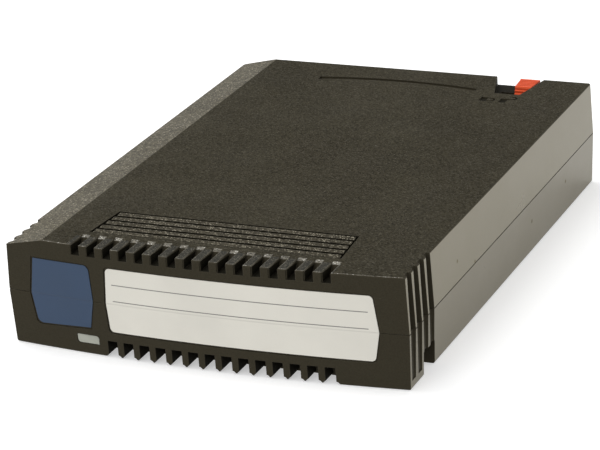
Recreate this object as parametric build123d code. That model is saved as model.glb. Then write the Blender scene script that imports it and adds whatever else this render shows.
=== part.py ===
from build123d import *
import os
from math import asin, atan2, cos, degrees, hypot, radians, sin, sqrt

# A removable disk cartridge: two moulded half shells that hold a small disk drive in rubber mounts.
# Lengths are in millimetres. X runs to the right, Y to the rear, Z up. The origin is under the middle
# of the cartridge, on the surface that it rests on.

# Outer form: its length, width and height follow from the drive and the space kept round it
drive_front = 7.5
drive_rear = 11.15
drive_side = 8.325
drive_lift = 7.0
drive_headroom = 7.0
parting = 11.8
bow = 2.4
side_draft_top = 0.39
side_draft_bottom = 0.42
front_draft_bottom = 0.35
rear_draft = 0.2
rear_corner_round = 0.6
top_edge_round = 0.3
bottom_edge_round = 0.5
rim_chamfer = 0.12

# How far cutting blocks reach beyond the faces that they cut
past = 1.0

# Long bevel on the top left edge
bevel_inner = 8.9
bevel_outer = 0.8
bevel_drop = 1.84

# Walls and cavity
wall = 1.7
roof = 1.8
floor_wall = 1.8
grip_wall = 3.25
front_block_length = 7.6

# Tongue of the lower shell in the rebate of the upper shell, and its catches
lip_width = 0.7
lip_rise = 1.0
lip_gap = 0.1
tongue_lead = 2.0
catch_length = 5.0
catch_depth = 0.3
catch_height = 0.5
catch_count = 3
catch_pitch = 30.0

# Finger slots
slot_pitch = 3.6
top_slot_center = 0.33
bottom_slot_center = -0.1
slot_margin = 14.2
top_slot_width = 1.7
top_slot_depth = 2.1
top_slot_length = 5.9
top_slot_ramp = 1.7
top_end_bevel = 0.9
top_end_drop = 0.28
bottom_slot_skip = 2
bottom_slot_width = 2.2
bottom_slot_depth = 3.6
bottom_slot_length = 5.4
bottom_slot_ramp = 2.4
slot_mouth_round = 0.2
bar_tip_round = 0.65
bar_top_round = 0.12
slot_bend_run = 0.35
slot_bend_rise = 0.62

# Cooling slats behind the slots
slat_count = 5
slat_pitch = 2.32
slat_groove = 1.1
slat_depth = 0.9
slat_tilt_drop = 0.17
slat_field_front = 8.3
slat_front_inset = 16.05
slat_taper = 0.9
slat_side_groove = 0.5
slat_center = 0.25
slat_root = 0.3

# Side grips
grip_pitch = 3.35
grip_count = 4
grip_land = 0.7
grip_depth_top = 1.15
grip_depth_bottom = 0.6
grip_lead = 0.8
grip_riser = 0.4
grip_rim = 1.8

# Latch notch low on the right side
latch_depth = 4.5
latch_height = 5.0
latch_first_grip = 2
latch_wall = 1.5

# Crescent groove near the rear edge of the top, its two arcs measured from the rear
crescent_half = 19.0
crescent_flare = 0.2
crescent_front = 11.75
crescent_front_rise = 2.4
crescent_rear = 9.7
crescent_rear_rise = 1.85
crescent_depth = 0.5

# Notch of the write-protect slider: how far its corners lie from the right side
notch_depth = 2.05
notch_length = 11.6
notch_left_rear = 22.65
notch_left_middle = 21.05
notch_left_front = 19.35
notch_right_rear = 11.25
notch_right_front = 13.45
notch_floor = 1.5
notch_frame = 2.0

# Write-protect slider
slider_travel = 4.4
knob_inset = 12.15
knob_width = 4.6
knob_taper = 0.45
knob_length = 5.2
knob_slope = 1.0
knob_rear_gap = 0.8
knob_lift = 0.12
knob_top_ridges = 5
knob_slope_ridges = 2
knob_groove_half = 0.3
knob_groove_depth = 0.28
stem_width = 2.2
stem_length = 1.0
stem_inset = 5.55
stem_gap = 0.15
foot_width = 6.0
foot_length = 4.4
foot_thickness = 0.9
foot_gap = 0.15

# Front labels: drops from the top, insets from the sides and heights above the base
label_thickness = 0.15
label_sink = 0.05
label_margin = 0.35
label_drop = 4.1
capacity_inset = 6.35
capacity_width = 12.9
capacity_lean = 0.6
capacity_bulge = 1.0
capacity_bottom = 5.3
capacity_bottom_rise = 0.65
capacity_round = 1.3
note_gap = 4.0
note_inset = 7.05
note_bulge_left = 0.45
note_bulge_right = 1.05
note_bottom = 5.7
note_round = 0.95

# Light pipe
lens_inset = 15.25
lens_width = 5.1
lens_bottom = 2.3
lens_top = 4.25
lens_round = 0.7
lens_gap = 0.08
pipe_width = 3.0
pipe_thickness = 1.6
pipe_flange = 0.8
pipe_flange_length = 1.2
saddle_thickness = 1.5
saddle_width = 7.0
saddle_height = 4.6
saddle_pitch = 32.0
saddle_count = 3

# Disk drive case, which is as wide, long and high as what it holds
case_side = 1.725
case_rim = 2.0
drive_tail = 27.425
base_skin = 1.0
board_recess = 1.6
cover_thickness = 0.6
cover_emboss = 0.3
emboss_rim = 3.0
emboss_wall = 1.0
gasket_thickness = 0.3
gasket_outer_inset = 0.3
gasket_inner_inset = 0.3
drive_corner_round = 1.5
swing_space = 10.0
plug_wall = 2.2

# Disk pack
platter_radius = 32.5
platter_bore = 10.0
platter_thickness = 0.64
platter_gap = 1.6
well_gap = 0.7
pack_headroom = 1.52
hub_gap = 0.03
hub_flange_radius = 12.2
hub_flange_thickness = 0.7
hub_lift = 0.9
motor_radius = 12.8
motor_flange = 0.6
motor_fit = 0.02
stator_radius = 7.6
stator_core = 3.4
stator_height = 1.8
stator_teeth = 9
stator_slot = 1.0
stator_gap = 0.4
shaft_radius = 1.5
shaft_gap = 0.03
shaft_end = 0.4
shaft_end_gap = 0.05
clamp_radius = 12.0
clamp_thickness = 0.5
clamp_dish = 0.2
clamp_dish_gap = 0.3
clamp_hole_circle = 6.5
clamp_hole_radius = 0.9
clamp_hole_count = 6
screw_head_radius = 1.9
screw_head_height = 0.5
screw_socket_radius = 0.9
screw_socket_depth = 0.3

# Actuator
pivot_side = 20.925
pivot_space = 5.5
arm_short = 5.0
parking_lead = 1.8
inner_track_radius = 14.0
arm_thickness = 0.55
arm_shoulder = 4.0
arm_root_width = 9.0
arm_root_angle = 75.0
arm_tip_width = 2.2
arm_hole_reach = 13.9
arm_hole_radius = 1.6
pivot_radius = 4.6
pivot_post_radius = 2.5
pivot_gap = 0.05
post_flange = 1.2
post_end_gap = 0.15
coil_inner = 7.6
coil_outer = 16.6
coil_half_angle = 17.0
coil_thickness = 1.3
coil_band = 2.0
fork_overlap = 1.0
fork_root = 0.6
fork_lead = 4.0
fork_start = 2.2
fork_angle = 3.4
fork_short = 2.0
head_length = 1.25
head_width = 1.0
head_thickness = 0.23
head_inset = 1.375
magnet_inner = 8.0
magnet_outer = 18.2
magnet_plate = 1.0
magnet_gap = 0.35
magnet_lead = 3.0
magnet_trail = 7.0
magnet_wall = 1.0
ramp_width = 3.4
ramp_length = 4.2
ramp_gap = 0.3
ramp_fit = 0.05
ramp_finger = 0.3
ramp_finger_length = 1.0
ramp_finger_gap = 0.12

# Boards and connectors
board_thickness = 0.8
drive_board_length = 46.0
board_side = 3.925
board_gap = 0.1
board_rear_inset = 0.3
board_screw_side = 2.2
board_screw_front = 2.4
board_screw_rear = 3.2
chip_height = 0.7
plug_width = 34.0
plug_depth = 5.0
plug_thickness = 3.2
plug_back = 1.2
plug_lift = 0.4
plug_pocket_gap = 0.1
plug_pocket_rise = 1.6
tongue_thickness = 1.1
tongue_side = 1.0
contact_count = 15
contact_width = 0.7
contact_thickness = 0.12
contact_inset = 0.8
contact_side = 1.5
contact_gap = 0.1
socket_wall = 1.0
socket_gap = 0.15
socket_lip = 0.3
socket_side = 1.8
socket_back = 0.2
interface_gap = 1.6
interface_width = 52.0
interface_height = 15.0
interface_notch_gap = 0.4
rear_mouth_width = 36.0
rear_mouth_height = 4.8
rear_housing_wall = 1.4
rear_housing_back = 1.2
rear_recess = 0.6
rear_fit_gap = 0.1
rear_contact_side = 1.0

# Rubber corner mounts
mount_gap = 0.05
mount_inner = 5.0
mount_length = 15.0
mount_nose_gap = 0.3
mount_slot = 2.0
mount_rear_reach = 3.2

# Screws
cover_screw_radius = 1.5
cover_screw_head = 0.35
cover_screw_shank = 0.8
cover_screw_reach = 2.4
cover_screw_lead = 0.2
board_screw_reach = 1.5
boss_wall = 0.7
screw_hole_gap = 0.05
screw_thread_fit = 0.03
screw_tip_gap = 0.1

# Drive and outer sizes, worked out from the disks, the pivot and the walls round them
drive_width = 2 * (platter_radius + well_gap + case_side)
pivot_x = drive_width / 2 - pivot_side
pivot_reach = platter_radius + pivot_space
pivot_distance = sqrt(pivot_x**2 + pivot_reach**2)
arm_length = pivot_reach - arm_short
parking_radius = platter_radius + parking_lead
drive_length = drive_width / 2 + pivot_reach + drive_tail
pack_height = hub_flange_thickness + 2 * platter_thickness + platter_gap
case_floor = board_recess + base_skin
case_lid = gasket_thickness + cover_thickness
drive_height = case_floor + hub_lift + pack_height + pack_headroom + case_lid
length = drive_front + drive_length + drive_rear
width = drive_width + 2 * drive_side
height = drive_lift + drive_height + drive_headroom

# Places
rear = length / 2
front_apex = -length / 2
front_corner = front_apex + bow
half = width / 2
bow_radius = (half**2 + bow**2) / (2 * bow)
roof_z = height - roof
wall_start = front_corner + grip_pitch * grip_count
front_block_end = front_apex + front_block_length
top_slot_count = int((width - 2 * slot_margin) / slot_pitch)
slat_front_half = half - slat_front_inset
slat_rear_half = slat_front_half - slat_taper
notch_z = height - notch_depth
knob_rear = rear - knob_rear_gap
knob_right = half - knob_inset
knob_left = knob_right - knob_width
slider_x = (knob_left + knob_right) / 2
label_top = height - label_drop
capacity_left = -half + capacity_inset
capacity_right = capacity_left + capacity_width
note_left = capacity_right + note_gap
note_right = half - note_inset
lens_left = -half + lens_inset
lens_right = lens_left + lens_width
lens_x = (lens_left + lens_right) / 2
lens_z = (lens_bottom + lens_top) / 2
drive_y0 = front_apex + drive_front
drive_y1 = drive_y0 + drive_length
drive_z0 = drive_lift
drive_z1 = drive_lift + drive_height
base_top = drive_z1 - case_lid
base_floor = drive_z0 + case_floor
spindle_y = drive_y0 + drive_width / 2
pivot_y = spindle_y + pivot_reach
hub_z = base_floor + hub_lift
lower_platter_z = hub_z + hub_flange_thickness
upper_platter_z = lower_platter_z + platter_thickness + platter_gap
pack_top = upper_platter_z + platter_thickness
drive_board_width = drive_width - 2 * board_side
board_z = drive_z0 + board_recess - board_gap - board_thickness
board_y0 = drive_y1 - drive_board_length
plug_y = drive_y1 - plug_depth
plug_z = drive_z0 + plug_thickness / 2 + plug_lift
plug_half = plug_width / 2 + socket_wall + 2 * socket_gap
interface_y = drive_y1 + interface_gap


def front_y(x):
    """Y of the bowed front face at its parting line"""
    return front_apex + bow_radius - sqrt(bow_radius**2 - x**2)


def angle_at_pivot(radius):
    """angle between the arm and the line to the spindle when the heads are at this radius"""
    cosine = (pivot_distance**2 + arm_length**2 - radius**2) / (2 * pivot_distance * arm_length)
    return degrees(atan2(sqrt(1 - cosine**2), cosine))


spindle_direction = degrees(atan2(-pivot_reach, -pivot_x)) % 360
parked_angle = spindle_direction - angle_at_pivot(parking_radius)
arm_swing = angle_at_pivot(parking_radius) - angle_at_pivot(inner_track_radius)


def block(x0, x1, y0, y1, z0, z1):
    """box between two corners"""
    return Pos((x0 + x1) / 2, (y0 + y1) / 2, (z0 + z1) / 2) * Box(x1 - x0, y1 - y0, z1 - z0)


def disc(radius, z0, z1, x=0.0, y=0.0):
    """upright round bar between two heights"""
    return Pos(x, y, (z0 + z1) / 2) * Cylinder(radius, z1 - z0)


def plate(points, z0, z1):
    """plan polygon raised between two heights"""
    return Pos(0, 0, z0) * extrude(make_face(Polyline(*points, close=True)), z1 - z0)


def side_profile(points, x0, x1):
    """outline given as (y, z) points, carried across from x0 to x1"""
    face = make_face(Polyline(*[(0, y, z) for y, z in points], close=True))
    return Pos(x0, 0, 0) * extrude(face, x1 - x0, dir=(1, 0, 0))


def front_profile(face, y0, y1):
    """face drawn in the XZ plane, carried to the rear from y0 to y1"""
    return Pos(0, y0, 0) * extrude(Plane.XZ * face, y1 - y0, dir=(0, 1, 0))


# Outer form of the two halves


def plan(z, side_in, front_in, rear_in):
    """plan outline with straight sides and rear and a bowed front"""
    x = half - side_in
    y0 = front_corner + front_in
    y1 = rear - rear_in
    front = ThreePointArc((-x, y0), (0, y0 - bow), (x, y0))
    others = Polyline((x, y0), (x, y1), (-x, y1), (-x, y0))
    return Pos(0, 0, z) * make_face(Curve() + [front, others])


def upper_body(inset, top_inset):
    """upper half, drafted towards the top, with all its faces moved inwards"""
    at_parting = plan(parting, inset, inset, inset)
    at_top = plan(height - top_inset, side_draft_top + inset, inset, rear_draft + inset)
    return loft([at_parting, at_top], ruled=True)


def lower_body(inset, bottom_inset):
    """lower half, drafted towards the bottom, with all its faces moved inwards"""
    at_parting = plan(parting, inset, inset, inset)
    at_bottom = plan(bottom_inset, side_draft_bottom + inset, front_draft_bottom + inset, rear_draft + inset)
    return loft([at_bottom, at_parting], ruled=True)


def rounded(body, rim, rim_round):
    """rear corners rounded, and then the outer rim with a smaller radius"""
    corners = [e for e in body.edges() if e.bounding_box().size.Z > parting / 2 and e.center().Y > 0]
    body = fillet(corners, rear_corner_round)
    edges = body.edges().group_by(Axis.Z)[rim]
    return fillet(edges, rim_round)


def long_bevel():
    """wedge that takes the long bevel off the top left edge"""
    slope = bevel_drop / (bevel_inner - bevel_outer)
    inner = -half + bevel_inner
    reach = bevel_inner + past
    low = height - slope * reach
    points = [(inner, height), (inner - reach, low), (inner - reach, height + past), (inner, height + past)]
    return front_profile(make_face(Polyline(*points, close=True)), front_apex - past, rear + past)


def parting_bevel(side):
    """small bevel round the rim of the upper half (side 1) or of the lower half (side -1)"""
    rim = plan(parting, rim_chamfer, rim_chamfer, rim_chamfer)
    away = parting + side * rim_chamfer
    clear = plan(away, 0, 0, 0)
    kept = loft(sorted([rim, clear], key=lambda face: face.center().Z), ruled=True)
    around = extrude(plan(min(parting, away), -past, -past, -past), rim_chamfer)
    return around - kept


# Finger slots


def slot_x(center, index):
    """middle of one finger slot of a row"""
    return center + (index - (top_slot_count - 1) / 2) * slot_pitch


def mouth_flare(x, slot_width, z0, z1):
    """rounds the two front corners of the bars beside a slot"""
    y = front_y(x)
    r = slot_mouth_round
    w = slot_width / 2
    left = RadiusArc((-w - r, 0), (-w, r), r)
    right = RadiusArc((w, r), (w + r, 0), r)
    rest = Polyline((w + r, 0), (w + r, -bow), (-w - r, -bow), (-w - r, 0))
    face = make_face(Curve() + [left, Line((-w, r), (w, r)), right, rest])
    return Pos(x, y, z0) * extrude(face, z1 - z0)


def slot_section(slot_width, depth, lip_round):
    """slot seen from the front, closed above and flared to its open side below"""
    w = slot_width / 2
    r = lip_round
    left = RadiusArc((-w, r), (-w - r, 0), -r)
    right = RadiusArc((w + r, 0), (w, r), -r)
    sides = Polyline((w, r), (w, depth), (-w, depth), (-w, r))
    below = Polyline((-w - r, 0), (-w - r, -1), (w + r, -1), (w + r, 0))
    return make_face(Curve() + [left, below, right, sides])


def slot_run(depth, run, ramp):
    """slot seen from the side: level, then curving out to its open side at the rear"""
    start = front_apex - past
    end = front_apex + run
    bend = (end - ramp * slot_bend_run, depth * slot_bend_rise)
    face = make_face(Curve() + [
        Polyline((end, 0), (end, -past), (start, -past), (start, depth), (end - ramp, depth)),
        ThreePointArc((end - ramp, depth), bend, (end, 0)),
    ])
    return Pos(-slot_pitch / 2, 0, 0) * extrude(Plane.YZ * face, slot_pitch, dir=(1, 0, 0))


def bottom_slot(index):
    """one slot of the underside"""
    section = slot_section(bottom_slot_width, bottom_slot_depth, bar_tip_round)
    tool = front_profile(section, front_apex - past, front_apex + bottom_slot_length + past)
    tool = tool & slot_run(bottom_slot_depth, bottom_slot_length, bottom_slot_ramp)
    x = slot_x(bottom_slot_center, index)
    return Pos(x, 0, 0) * tool + mouth_flare(x, bottom_slot_width, -past, bottom_slot_depth)


def top_slot(index):
    """one slot of the top, the same form turned over, with a shallow bevel behind its end"""
    section = slot_section(top_slot_width, top_slot_depth, bar_top_round)
    tool = front_profile(section, front_apex - past, front_apex + top_slot_length + past)
    tool = tool & slot_run(top_slot_depth, top_slot_length, top_slot_ramp)
    tool = Pos(0, 0, height) * mirror(tool, Plane.XY)
    end = front_apex + top_slot_length
    slope = [(end, height - top_end_drop), (end + top_end_bevel, height), (end, height + past)]
    start = end - top_slot_ramp / 2
    slope += [(start, height + past), (start, height - top_end_drop)]
    tool += side_profile(slope, -top_slot_width / 2, top_slot_width / 2)
    x = slot_x(top_slot_center, index)
    return Pos(x, 0, 0) * tool + mouth_flare(x, top_slot_width, height - top_slot_depth, height + past)


# Cooling slats


def slat_field(margin, depth):
    """block over the slats, a little narrower at the rear"""
    y0 = front_apex + slat_field_front
    y1 = y0 + slat_count * slat_pitch
    a = slat_front_half - margin
    b = slat_rear_half - margin
    points = [(-a, y0), (a, y0), (b, y1), (-b, y1)]
    return Pos(slat_center, 0, 0) * plate(points, height - depth, height + past)


def slats():
    """slats tilted towards the front, one behind the other"""
    y0 = front_apex + slat_field_front
    low = height - slat_depth - slat_root
    bars = Part()
    for i in range(slat_count):
        front = y0 + slat_groove / 2 + i * slat_pitch
        back = front + slat_pitch - slat_groove
        points = [(front, low), (front, height - slat_tilt_drop), (back, height), (back, low)]
        bars += side_profile(points, slat_center - slat_front_half, slat_center + slat_front_half)
    return bars & slat_field(slat_side_groove, slat_depth + slat_root)


# Side grips and the latch notch


def grip_grooves(side, depth, z0, z1):
    """upright grooves between the grip ribs of one side"""
    tools = Part()
    for i in range(grip_count):
        y0 = front_corner + i * grip_pitch + grip_land
        y1 = front_corner + (i + 1) * grip_pitch
        x = side * half
        out = side * (half + past)
        deep = side * (half - depth)
        points = [(out, y0), (x, y0), (deep, y0 + grip_lead), (deep, y1 - grip_riser), (x, y1), (out, y1)]
        tools += plate(points, z0, z1)
    return tools


def latch_space(grow):
    """space of the latch notch, or the block around it"""
    y0 = front_corner + latch_first_grip * grip_pitch + grip_land
    inner = half - latch_depth - grow
    return block(inner, half + past, y0 - grow, wall_start + grow, -past, latch_height + grow)


# Rear notch and crescent


def slider_notch(grow, z0, z1):
    """plan of the slider notch, flared to the rear"""
    y0 = rear - notch_length - grow
    y1 = rear + past
    left_rear = half - notch_left_rear - grow
    left_middle = half - notch_left_middle - grow
    left_front = half - notch_left_front - grow
    right_rear = half - notch_right_rear + grow
    right_front = half - notch_right_front + grow
    left = ThreePointArc((left_rear, rear), (left_middle, rear - notch_length / 2), (left_front, y0))
    others = Polyline(
        (left_front, y0), (right_front, y0), (right_rear, rear),
        (right_rear, y1), (left_rear, y1), (left_rear, rear)
    )
    return Pos(0, 0, z0) * extrude(make_face(Curve() + [left, others]), z1 - z0)


def crescent():
    """groove between two arcs"""
    front = rear - crescent_front
    back = rear - crescent_rear
    far = crescent_half + crescent_flare
    outline = Curve() + [
        ThreePointArc((-crescent_half, front), (0, front + crescent_front_rise), (crescent_half, front)),
        Line((crescent_half, front), (far, back)),
        ThreePointArc((far, back), (0, back + crescent_rear_rise), (-far, back)),
        Line((-far, back), (-crescent_half, front)),
    ]
    return Pos(0, 0, height - crescent_depth) * extrude(make_face(outline), crescent_depth + past)


# Labels


def label_face(left, right, low_left, low_right, bulge_left, bulge_right, corner, margin, sharp):
    """label seen from the front: its sides stand out a little at the parting line"""
    points = [
        (left - margin, label_top + margin), (right + margin, label_top + margin),
        (right + bulge_right + margin, parting), (low_right[0] + margin, low_right[1] - margin),
        (low_left[0] - margin, low_left[1] - margin), (left - bulge_left - margin, parting)
    ]
    face = make_face(Polyline(*points, close=True))
    kept = [points[i] for i in sharp]
    round_corners = []
    for v in face.vertices():
        at_parting = abs(v.Y - parting) < 0.01
        is_sharp = any(abs(v.X - p[0]) < 0.01 and abs(v.Y - p[1]) < 0.01 for p in kept)
        if not at_parting and not is_sharp:
            round_corners.append(v)
    return fillet(round_corners, corner)


def capacity_face(margin):
    """outline of the capacity label, with two sharp and two rounded corners"""
    low_left = (capacity_left, capacity_bottom)
    low_right = (capacity_right - capacity_lean, capacity_bottom + capacity_bottom_rise)
    return label_face(
        capacity_left, capacity_right, low_left, low_right,
        capacity_bulge, capacity_bulge / 2, capacity_round, margin, (0, 3)
    )


def note_face(margin):
    """outline of the write-on label"""
    return label_face(
        note_left, note_right, (note_left, note_bottom), (note_right, note_bottom),
        note_bulge_left, note_bulge_right, note_round, margin, ()
    )


def front_skin(outer, inner):
    """thin skin of the whole front between two depths"""
    bodies = []
    for inset in (outer, inner):
        bodies.append(upper_body(inset, inset) + lower_body(inset, inset))
    skin = bodies[0] - bodies[1]
    return skin & block(-half, half, front_apex - past, front_corner + past, floor_wall, roof_z)


def label(face):
    """label stuck on the floor of its recess"""
    sheet = front_skin(label_sink, label_sink + label_thickness)
    return sheet & front_profile(face, front_apex - past, front_corner + past)


def label_recess(face):
    """recess for a label, as deep as the label and its sink"""
    deep = label_sink + label_thickness
    inner = upper_body(deep, deep) + lower_body(deep, deep)
    return front_profile(face, front_apex - past, front_corner + past) - inner


# Light pipe


def lens_face(gap):
    """window of the light pipe seen from the front: two opposite corners are rounded"""
    x0 = lens_left + gap
    x1 = lens_right - gap
    z0 = lens_bottom + gap
    z1 = lens_top - gap
    face = make_face(Polyline((x0, z0), (x1, z0), (x1, z1), (x0, z1), close=True))
    corners = [v for v in face.vertices() if (v.X - x0 < 0.1) == (v.Y - z0 < 0.1)]
    return fillet(corners, lens_round)


def pipe_bar(gap):
    """straight bar of the light pipe from its window to the rear wall"""
    w = pipe_width / 2 + gap
    t = pipe_thickness / 2 + gap
    return block(lens_x - w, lens_x + w, front_corner + wall, rear + past, lens_z - t, lens_z + t)


def make_light_pipe():
    """clear moulding: lens in the front wall, flange behind it and the bar to the rear wall"""
    sunk = lower_body(label_sink, label_sink)
    y0 = front_block_end + lens_gap
    y1 = y0 + pipe_flange_length
    lens = front_profile(lens_face(lens_gap), front_apex - past, y1) & sunk
    w = lens_width / 2 + pipe_flange
    flange = block(lens_x - w, lens_x + w, y0, y1, floor_wall + lens_gap, lens_top + pipe_flange)
    return lens + flange + (pipe_bar(0) & sunk)


# Shells


def shell_cavity(body, upper):
    """inside space of one half: narrower between the grips, shallower behind the finger slots"""
    side = half - grip_wall
    limits = (block(-half, half, wall_start, rear, 0, height)
              + block(-side, side, front_block_end, wall_start, 0, height))
    low = bottom_slot_depth + wall
    high = height - top_slot_depth - wall
    limits += block(-side, side, front_apex, front_block_end, low, high)
    space = body & limits
    if upper:
        space -= slider_notch(notch_frame, notch_z - notch_floor, height)
    else:
        space -= latch_space(latch_wall)
    return space


def tongue(inset, rise):
    """strip along the sides and the rear that joins the halves"""
    ring = plan(parting, inset, inset, inset) - plan(parting, wall, wall, wall)
    ring = extrude(ring, rise)
    return ring & block(-half, half, wall_start + tongue_lead, rear, parting, parting + rise)


def catches(depth, margin):
    """catches on the tongue, or their pockets"""
    bars = Part()
    inset = wall - lip_width
    z0 = parting + lip_rise / 2 - catch_height / 2 - margin
    z1 = parting + lip_rise / 2 + catch_height / 2 + margin
    for side in (-1, 1):
        for i in range(catch_count):
            y = (i - (catch_count - 1) / 2) * catch_pitch + grip_pitch
            x = side * (half - inset)
            bars += block(
                min(x, x + side * depth), max(x, x + side * depth),
                y - catch_length / 2 - margin, y + catch_length / 2 + margin, z0, z1
            )
    return bars


def rear_mouth(gap):
    """opening of the rear wall for the connector"""
    w = rear_mouth_width / 2 + rear_housing_wall + gap
    h = rear_mouth_height / 2 + rear_housing_wall + gap
    return block(-w, w, interface_y, rear + past, parting - h, parting + h)


def slider_slot():
    """slot in the floor of the notch for the stem of the slider"""
    x0 = slider_x - stem_width / 2 - slider_travel - stem_gap
    x1 = slider_x + stem_width / 2 + stem_gap
    w = stem_length / 2 + stem_gap
    y = rear - stem_inset
    return block(x0, x1, y - w, y + w, notch_z - notch_floor - past, notch_z + past)


def make_top_shell():
    """upper half shell"""
    body = rounded(upper_body(0, 0), -1, top_edge_round)
    body -= long_bevel()
    body -= shell_cavity(upper_body(wall, roof), True)
    body -= slat_field(0, slat_depth)
    body += slats()
    for i in range(top_slot_count):
        body -= top_slot(i)
    for side in (-1, 1):
        body -= grip_grooves(side, grip_depth_top, parting - past, height + past)
    body -= crescent()
    body -= slider_notch(0, notch_z, height + past)
    body -= slider_slot()
    body -= tongue(wall - lip_width - lip_gap, lip_rise + lip_gap)
    body -= catches(catch_depth + lip_gap, lip_gap)
    body -= label_recess(capacity_face(label_margin))
    body -= label_recess(note_face(label_margin))
    body -= rear_mouth(rear_fit_gap)
    body -= parting_bevel(1)
    return body


def saddles():
    """ribs of the floor that hold the bar of the light pipe"""
    w = saddle_width / 2
    t = saddle_thickness / 2
    ribs = Part()
    for i in range(saddle_count):
        y = (i - (saddle_count - 1) / 2) * saddle_pitch
        ribs += block(lens_x - w, lens_x + w, y - t, y + t, floor_wall, saddle_height)
    return ribs - pipe_bar(lens_gap) - Pos(0, 0, pipe_thickness) * pipe_bar(lens_gap)


def make_bottom_shell():
    """lower half shell"""
    body = rounded(lower_body(0, 0), 0, bottom_edge_round)
    body -= shell_cavity(lower_body(wall, floor_wall), False)
    for i in range(bottom_slot_skip, top_slot_count):
        body -= bottom_slot(i)
    for side in (-1, 1):
        body -= grip_grooves(side, grip_depth_bottom, grip_rim, parting + past)
    body -= latch_space(0)
    body -= parting_bevel(-1)
    body += tongue(wall - lip_width, lip_rise)
    body += catches(catch_depth, 0)
    body += saddles()
    body -= label_recess(capacity_face(label_margin))
    body -= label_recess(note_face(label_margin))
    body -= front_profile(lens_face(0), front_apex - past, front_block_end + past)
    body -= pipe_bar(lens_gap) & block(-half, half, 0, rear + past, 0, parting)
    body -= rear_mouth(rear_fit_gap)
    return body


# Slider


def knob_groove(y, z, along_y, along_z):
    """groove across the knob, its middle at (y, z) on a face that runs up in this direction"""
    w = knob_groove_half
    lift = 0.01
    out_y = -along_z
    out_z = along_y
    points = [
        (y - w * along_y + lift * out_y, z - w * along_z + lift * out_z),
        (y - knob_groove_depth * out_y, z - knob_groove_depth * out_z),
        (y + w * along_y + lift * out_y, z + w * along_z + lift * out_z)
    ]
    return side_profile(points, knob_left - past, knob_right + past)


def make_slider():
    """knob with ridges across its top and sloping front, stem through the notch floor and foot"""
    base = notch_z + knob_lift
    top_front = knob_rear - knob_length
    toe = top_front - knob_slope
    knob = plate([
        (knob_left, knob_rear), (knob_left + knob_taper, toe),
        (knob_right - knob_taper, toe), (knob_right, knob_rear)
    ], base, height)
    side = [(knob_rear, base), (toe, base), (top_front, height), (knob_rear, height)]
    knob = knob & side_profile(side, knob_left, knob_right)
    for i in range(knob_top_ridges):
        knob -= knob_groove(top_front + (i + 1) * knob_length / (knob_top_ridges + 1), height, 1, 0)
    rise = height - base
    slant = hypot(knob_slope, rise)
    for i in range(knob_slope_ridges):
        part = (i + 1) / (knob_slope_ridges + 1)
        knob -= knob_groove(toe + part * knob_slope, base + part * rise, knob_slope / slant, rise / slant)
    foot_top = notch_z - notch_floor - foot_gap
    w = stem_width / 2
    t = stem_length / 2
    y = rear - stem_inset
    stem = block(slider_x - w, slider_x + w, y - t, y + t, foot_top, base)
    w = foot_width / 2
    y1 = rear - rear_draft - wall - 2 * foot_gap
    foot = block(slider_x - w, slider_x + w, y1 - foot_length, y1, foot_top - foot_thickness, foot_top)
    return knob + stem + foot


# Disk drive case


def drive_box(gap, z0, z1):
    """outer block of the drive, with rounded upright corners"""
    w = drive_width / 2 + gap
    box = block(-w, w, drive_y0 - gap, drive_y1 + gap, z0, z1)
    return fillet(box.edges().filter_by(Axis.Z), drive_corner_round)


def well(gap, z0, z1):
    """inside of the drive case: round where the disks turn, square where the arm swings"""
    r = platter_radius + well_gap + gap
    w = drive_width / 2 - case_rim + gap
    y0 = pivot_y - pivot_radius - swing_space
    y1 = plug_y - plug_wall + gap
    return disc(r, z0, z1, 0, spindle_y) + block(-w, w, y0, y1, z0, z1)


def cover_screw_places():
    """places of the six cover screws"""
    inset = cover_screw_radius + boss_wall
    x = drive_width / 2 - inset
    middle = spindle_y + platter_radius + cover_screw_lead
    return [(side * x, y) for y in (drive_y0 + inset, middle, drive_y1 - inset) for side in (-1, 1)]


def board_screw_places():
    """places of the four board screws"""
    x = drive_board_width / 2 - board_screw_side
    rows = (board_y0 + board_screw_front, plug_y - board_screw_rear)
    return [(side * x, y) for y in rows for side in (-1, 1)]


def make_drive_base():
    """cast case of the drive, open above, with a recess for its board below"""
    base = drive_box(0, drive_z0, base_top)
    base -= well(0, base_floor, base_top + past)
    for x, y in cover_screw_places():
        base += disc(cover_screw_radius + boss_wall, base_floor, base_top, x, y)
    base -= disc(platter_radius + well_gap, base_floor, base_top + past, 0, spindle_y)
    base -= ramp_block(ramp_fit, base_floor, base_top + past)
    w = drive_board_width / 2 + board_gap
    base -= block(-w, w, board_y0 - board_gap, drive_y1 + past, drive_z0 - past, drive_z0 + board_recess)
    plug_top = drive_z0 + plug_thickness + plug_pocket_rise
    base -= block(-plug_half, plug_half, plug_y - plug_pocket_gap, drive_y1 + past, drive_z0 - past, plug_top)
    base -= disc(motor_radius, base_floor - motor_flange, base_floor + past, 0, spindle_y)
    hole_z = drive_z1 - cover_emboss - cover_screw_reach - screw_tip_gap
    for x, y in cover_screw_places():
        base -= disc(cover_screw_shank, hole_z, base_top + past, x, y)
    for x, y in board_screw_places():
        base -= disc(cover_screw_shank, drive_z0, board_z + board_screw_reach + screw_tip_gap, x, y)
    return base & drive_box(0, drive_z0, base_top)


def make_cover_gasket():
    """thin sealing frame between case and cover"""
    outer = drive_box(-gasket_outer_inset, base_top, base_top + gasket_thickness)
    gasket = outer - well(gasket_inner_inset, base_top - past, drive_z1)
    for x, y in cover_screw_places():
        gasket -= disc(cover_screw_shank + gasket_outer_inset, base_top - past, drive_z1, x, y)
    return gasket


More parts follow.
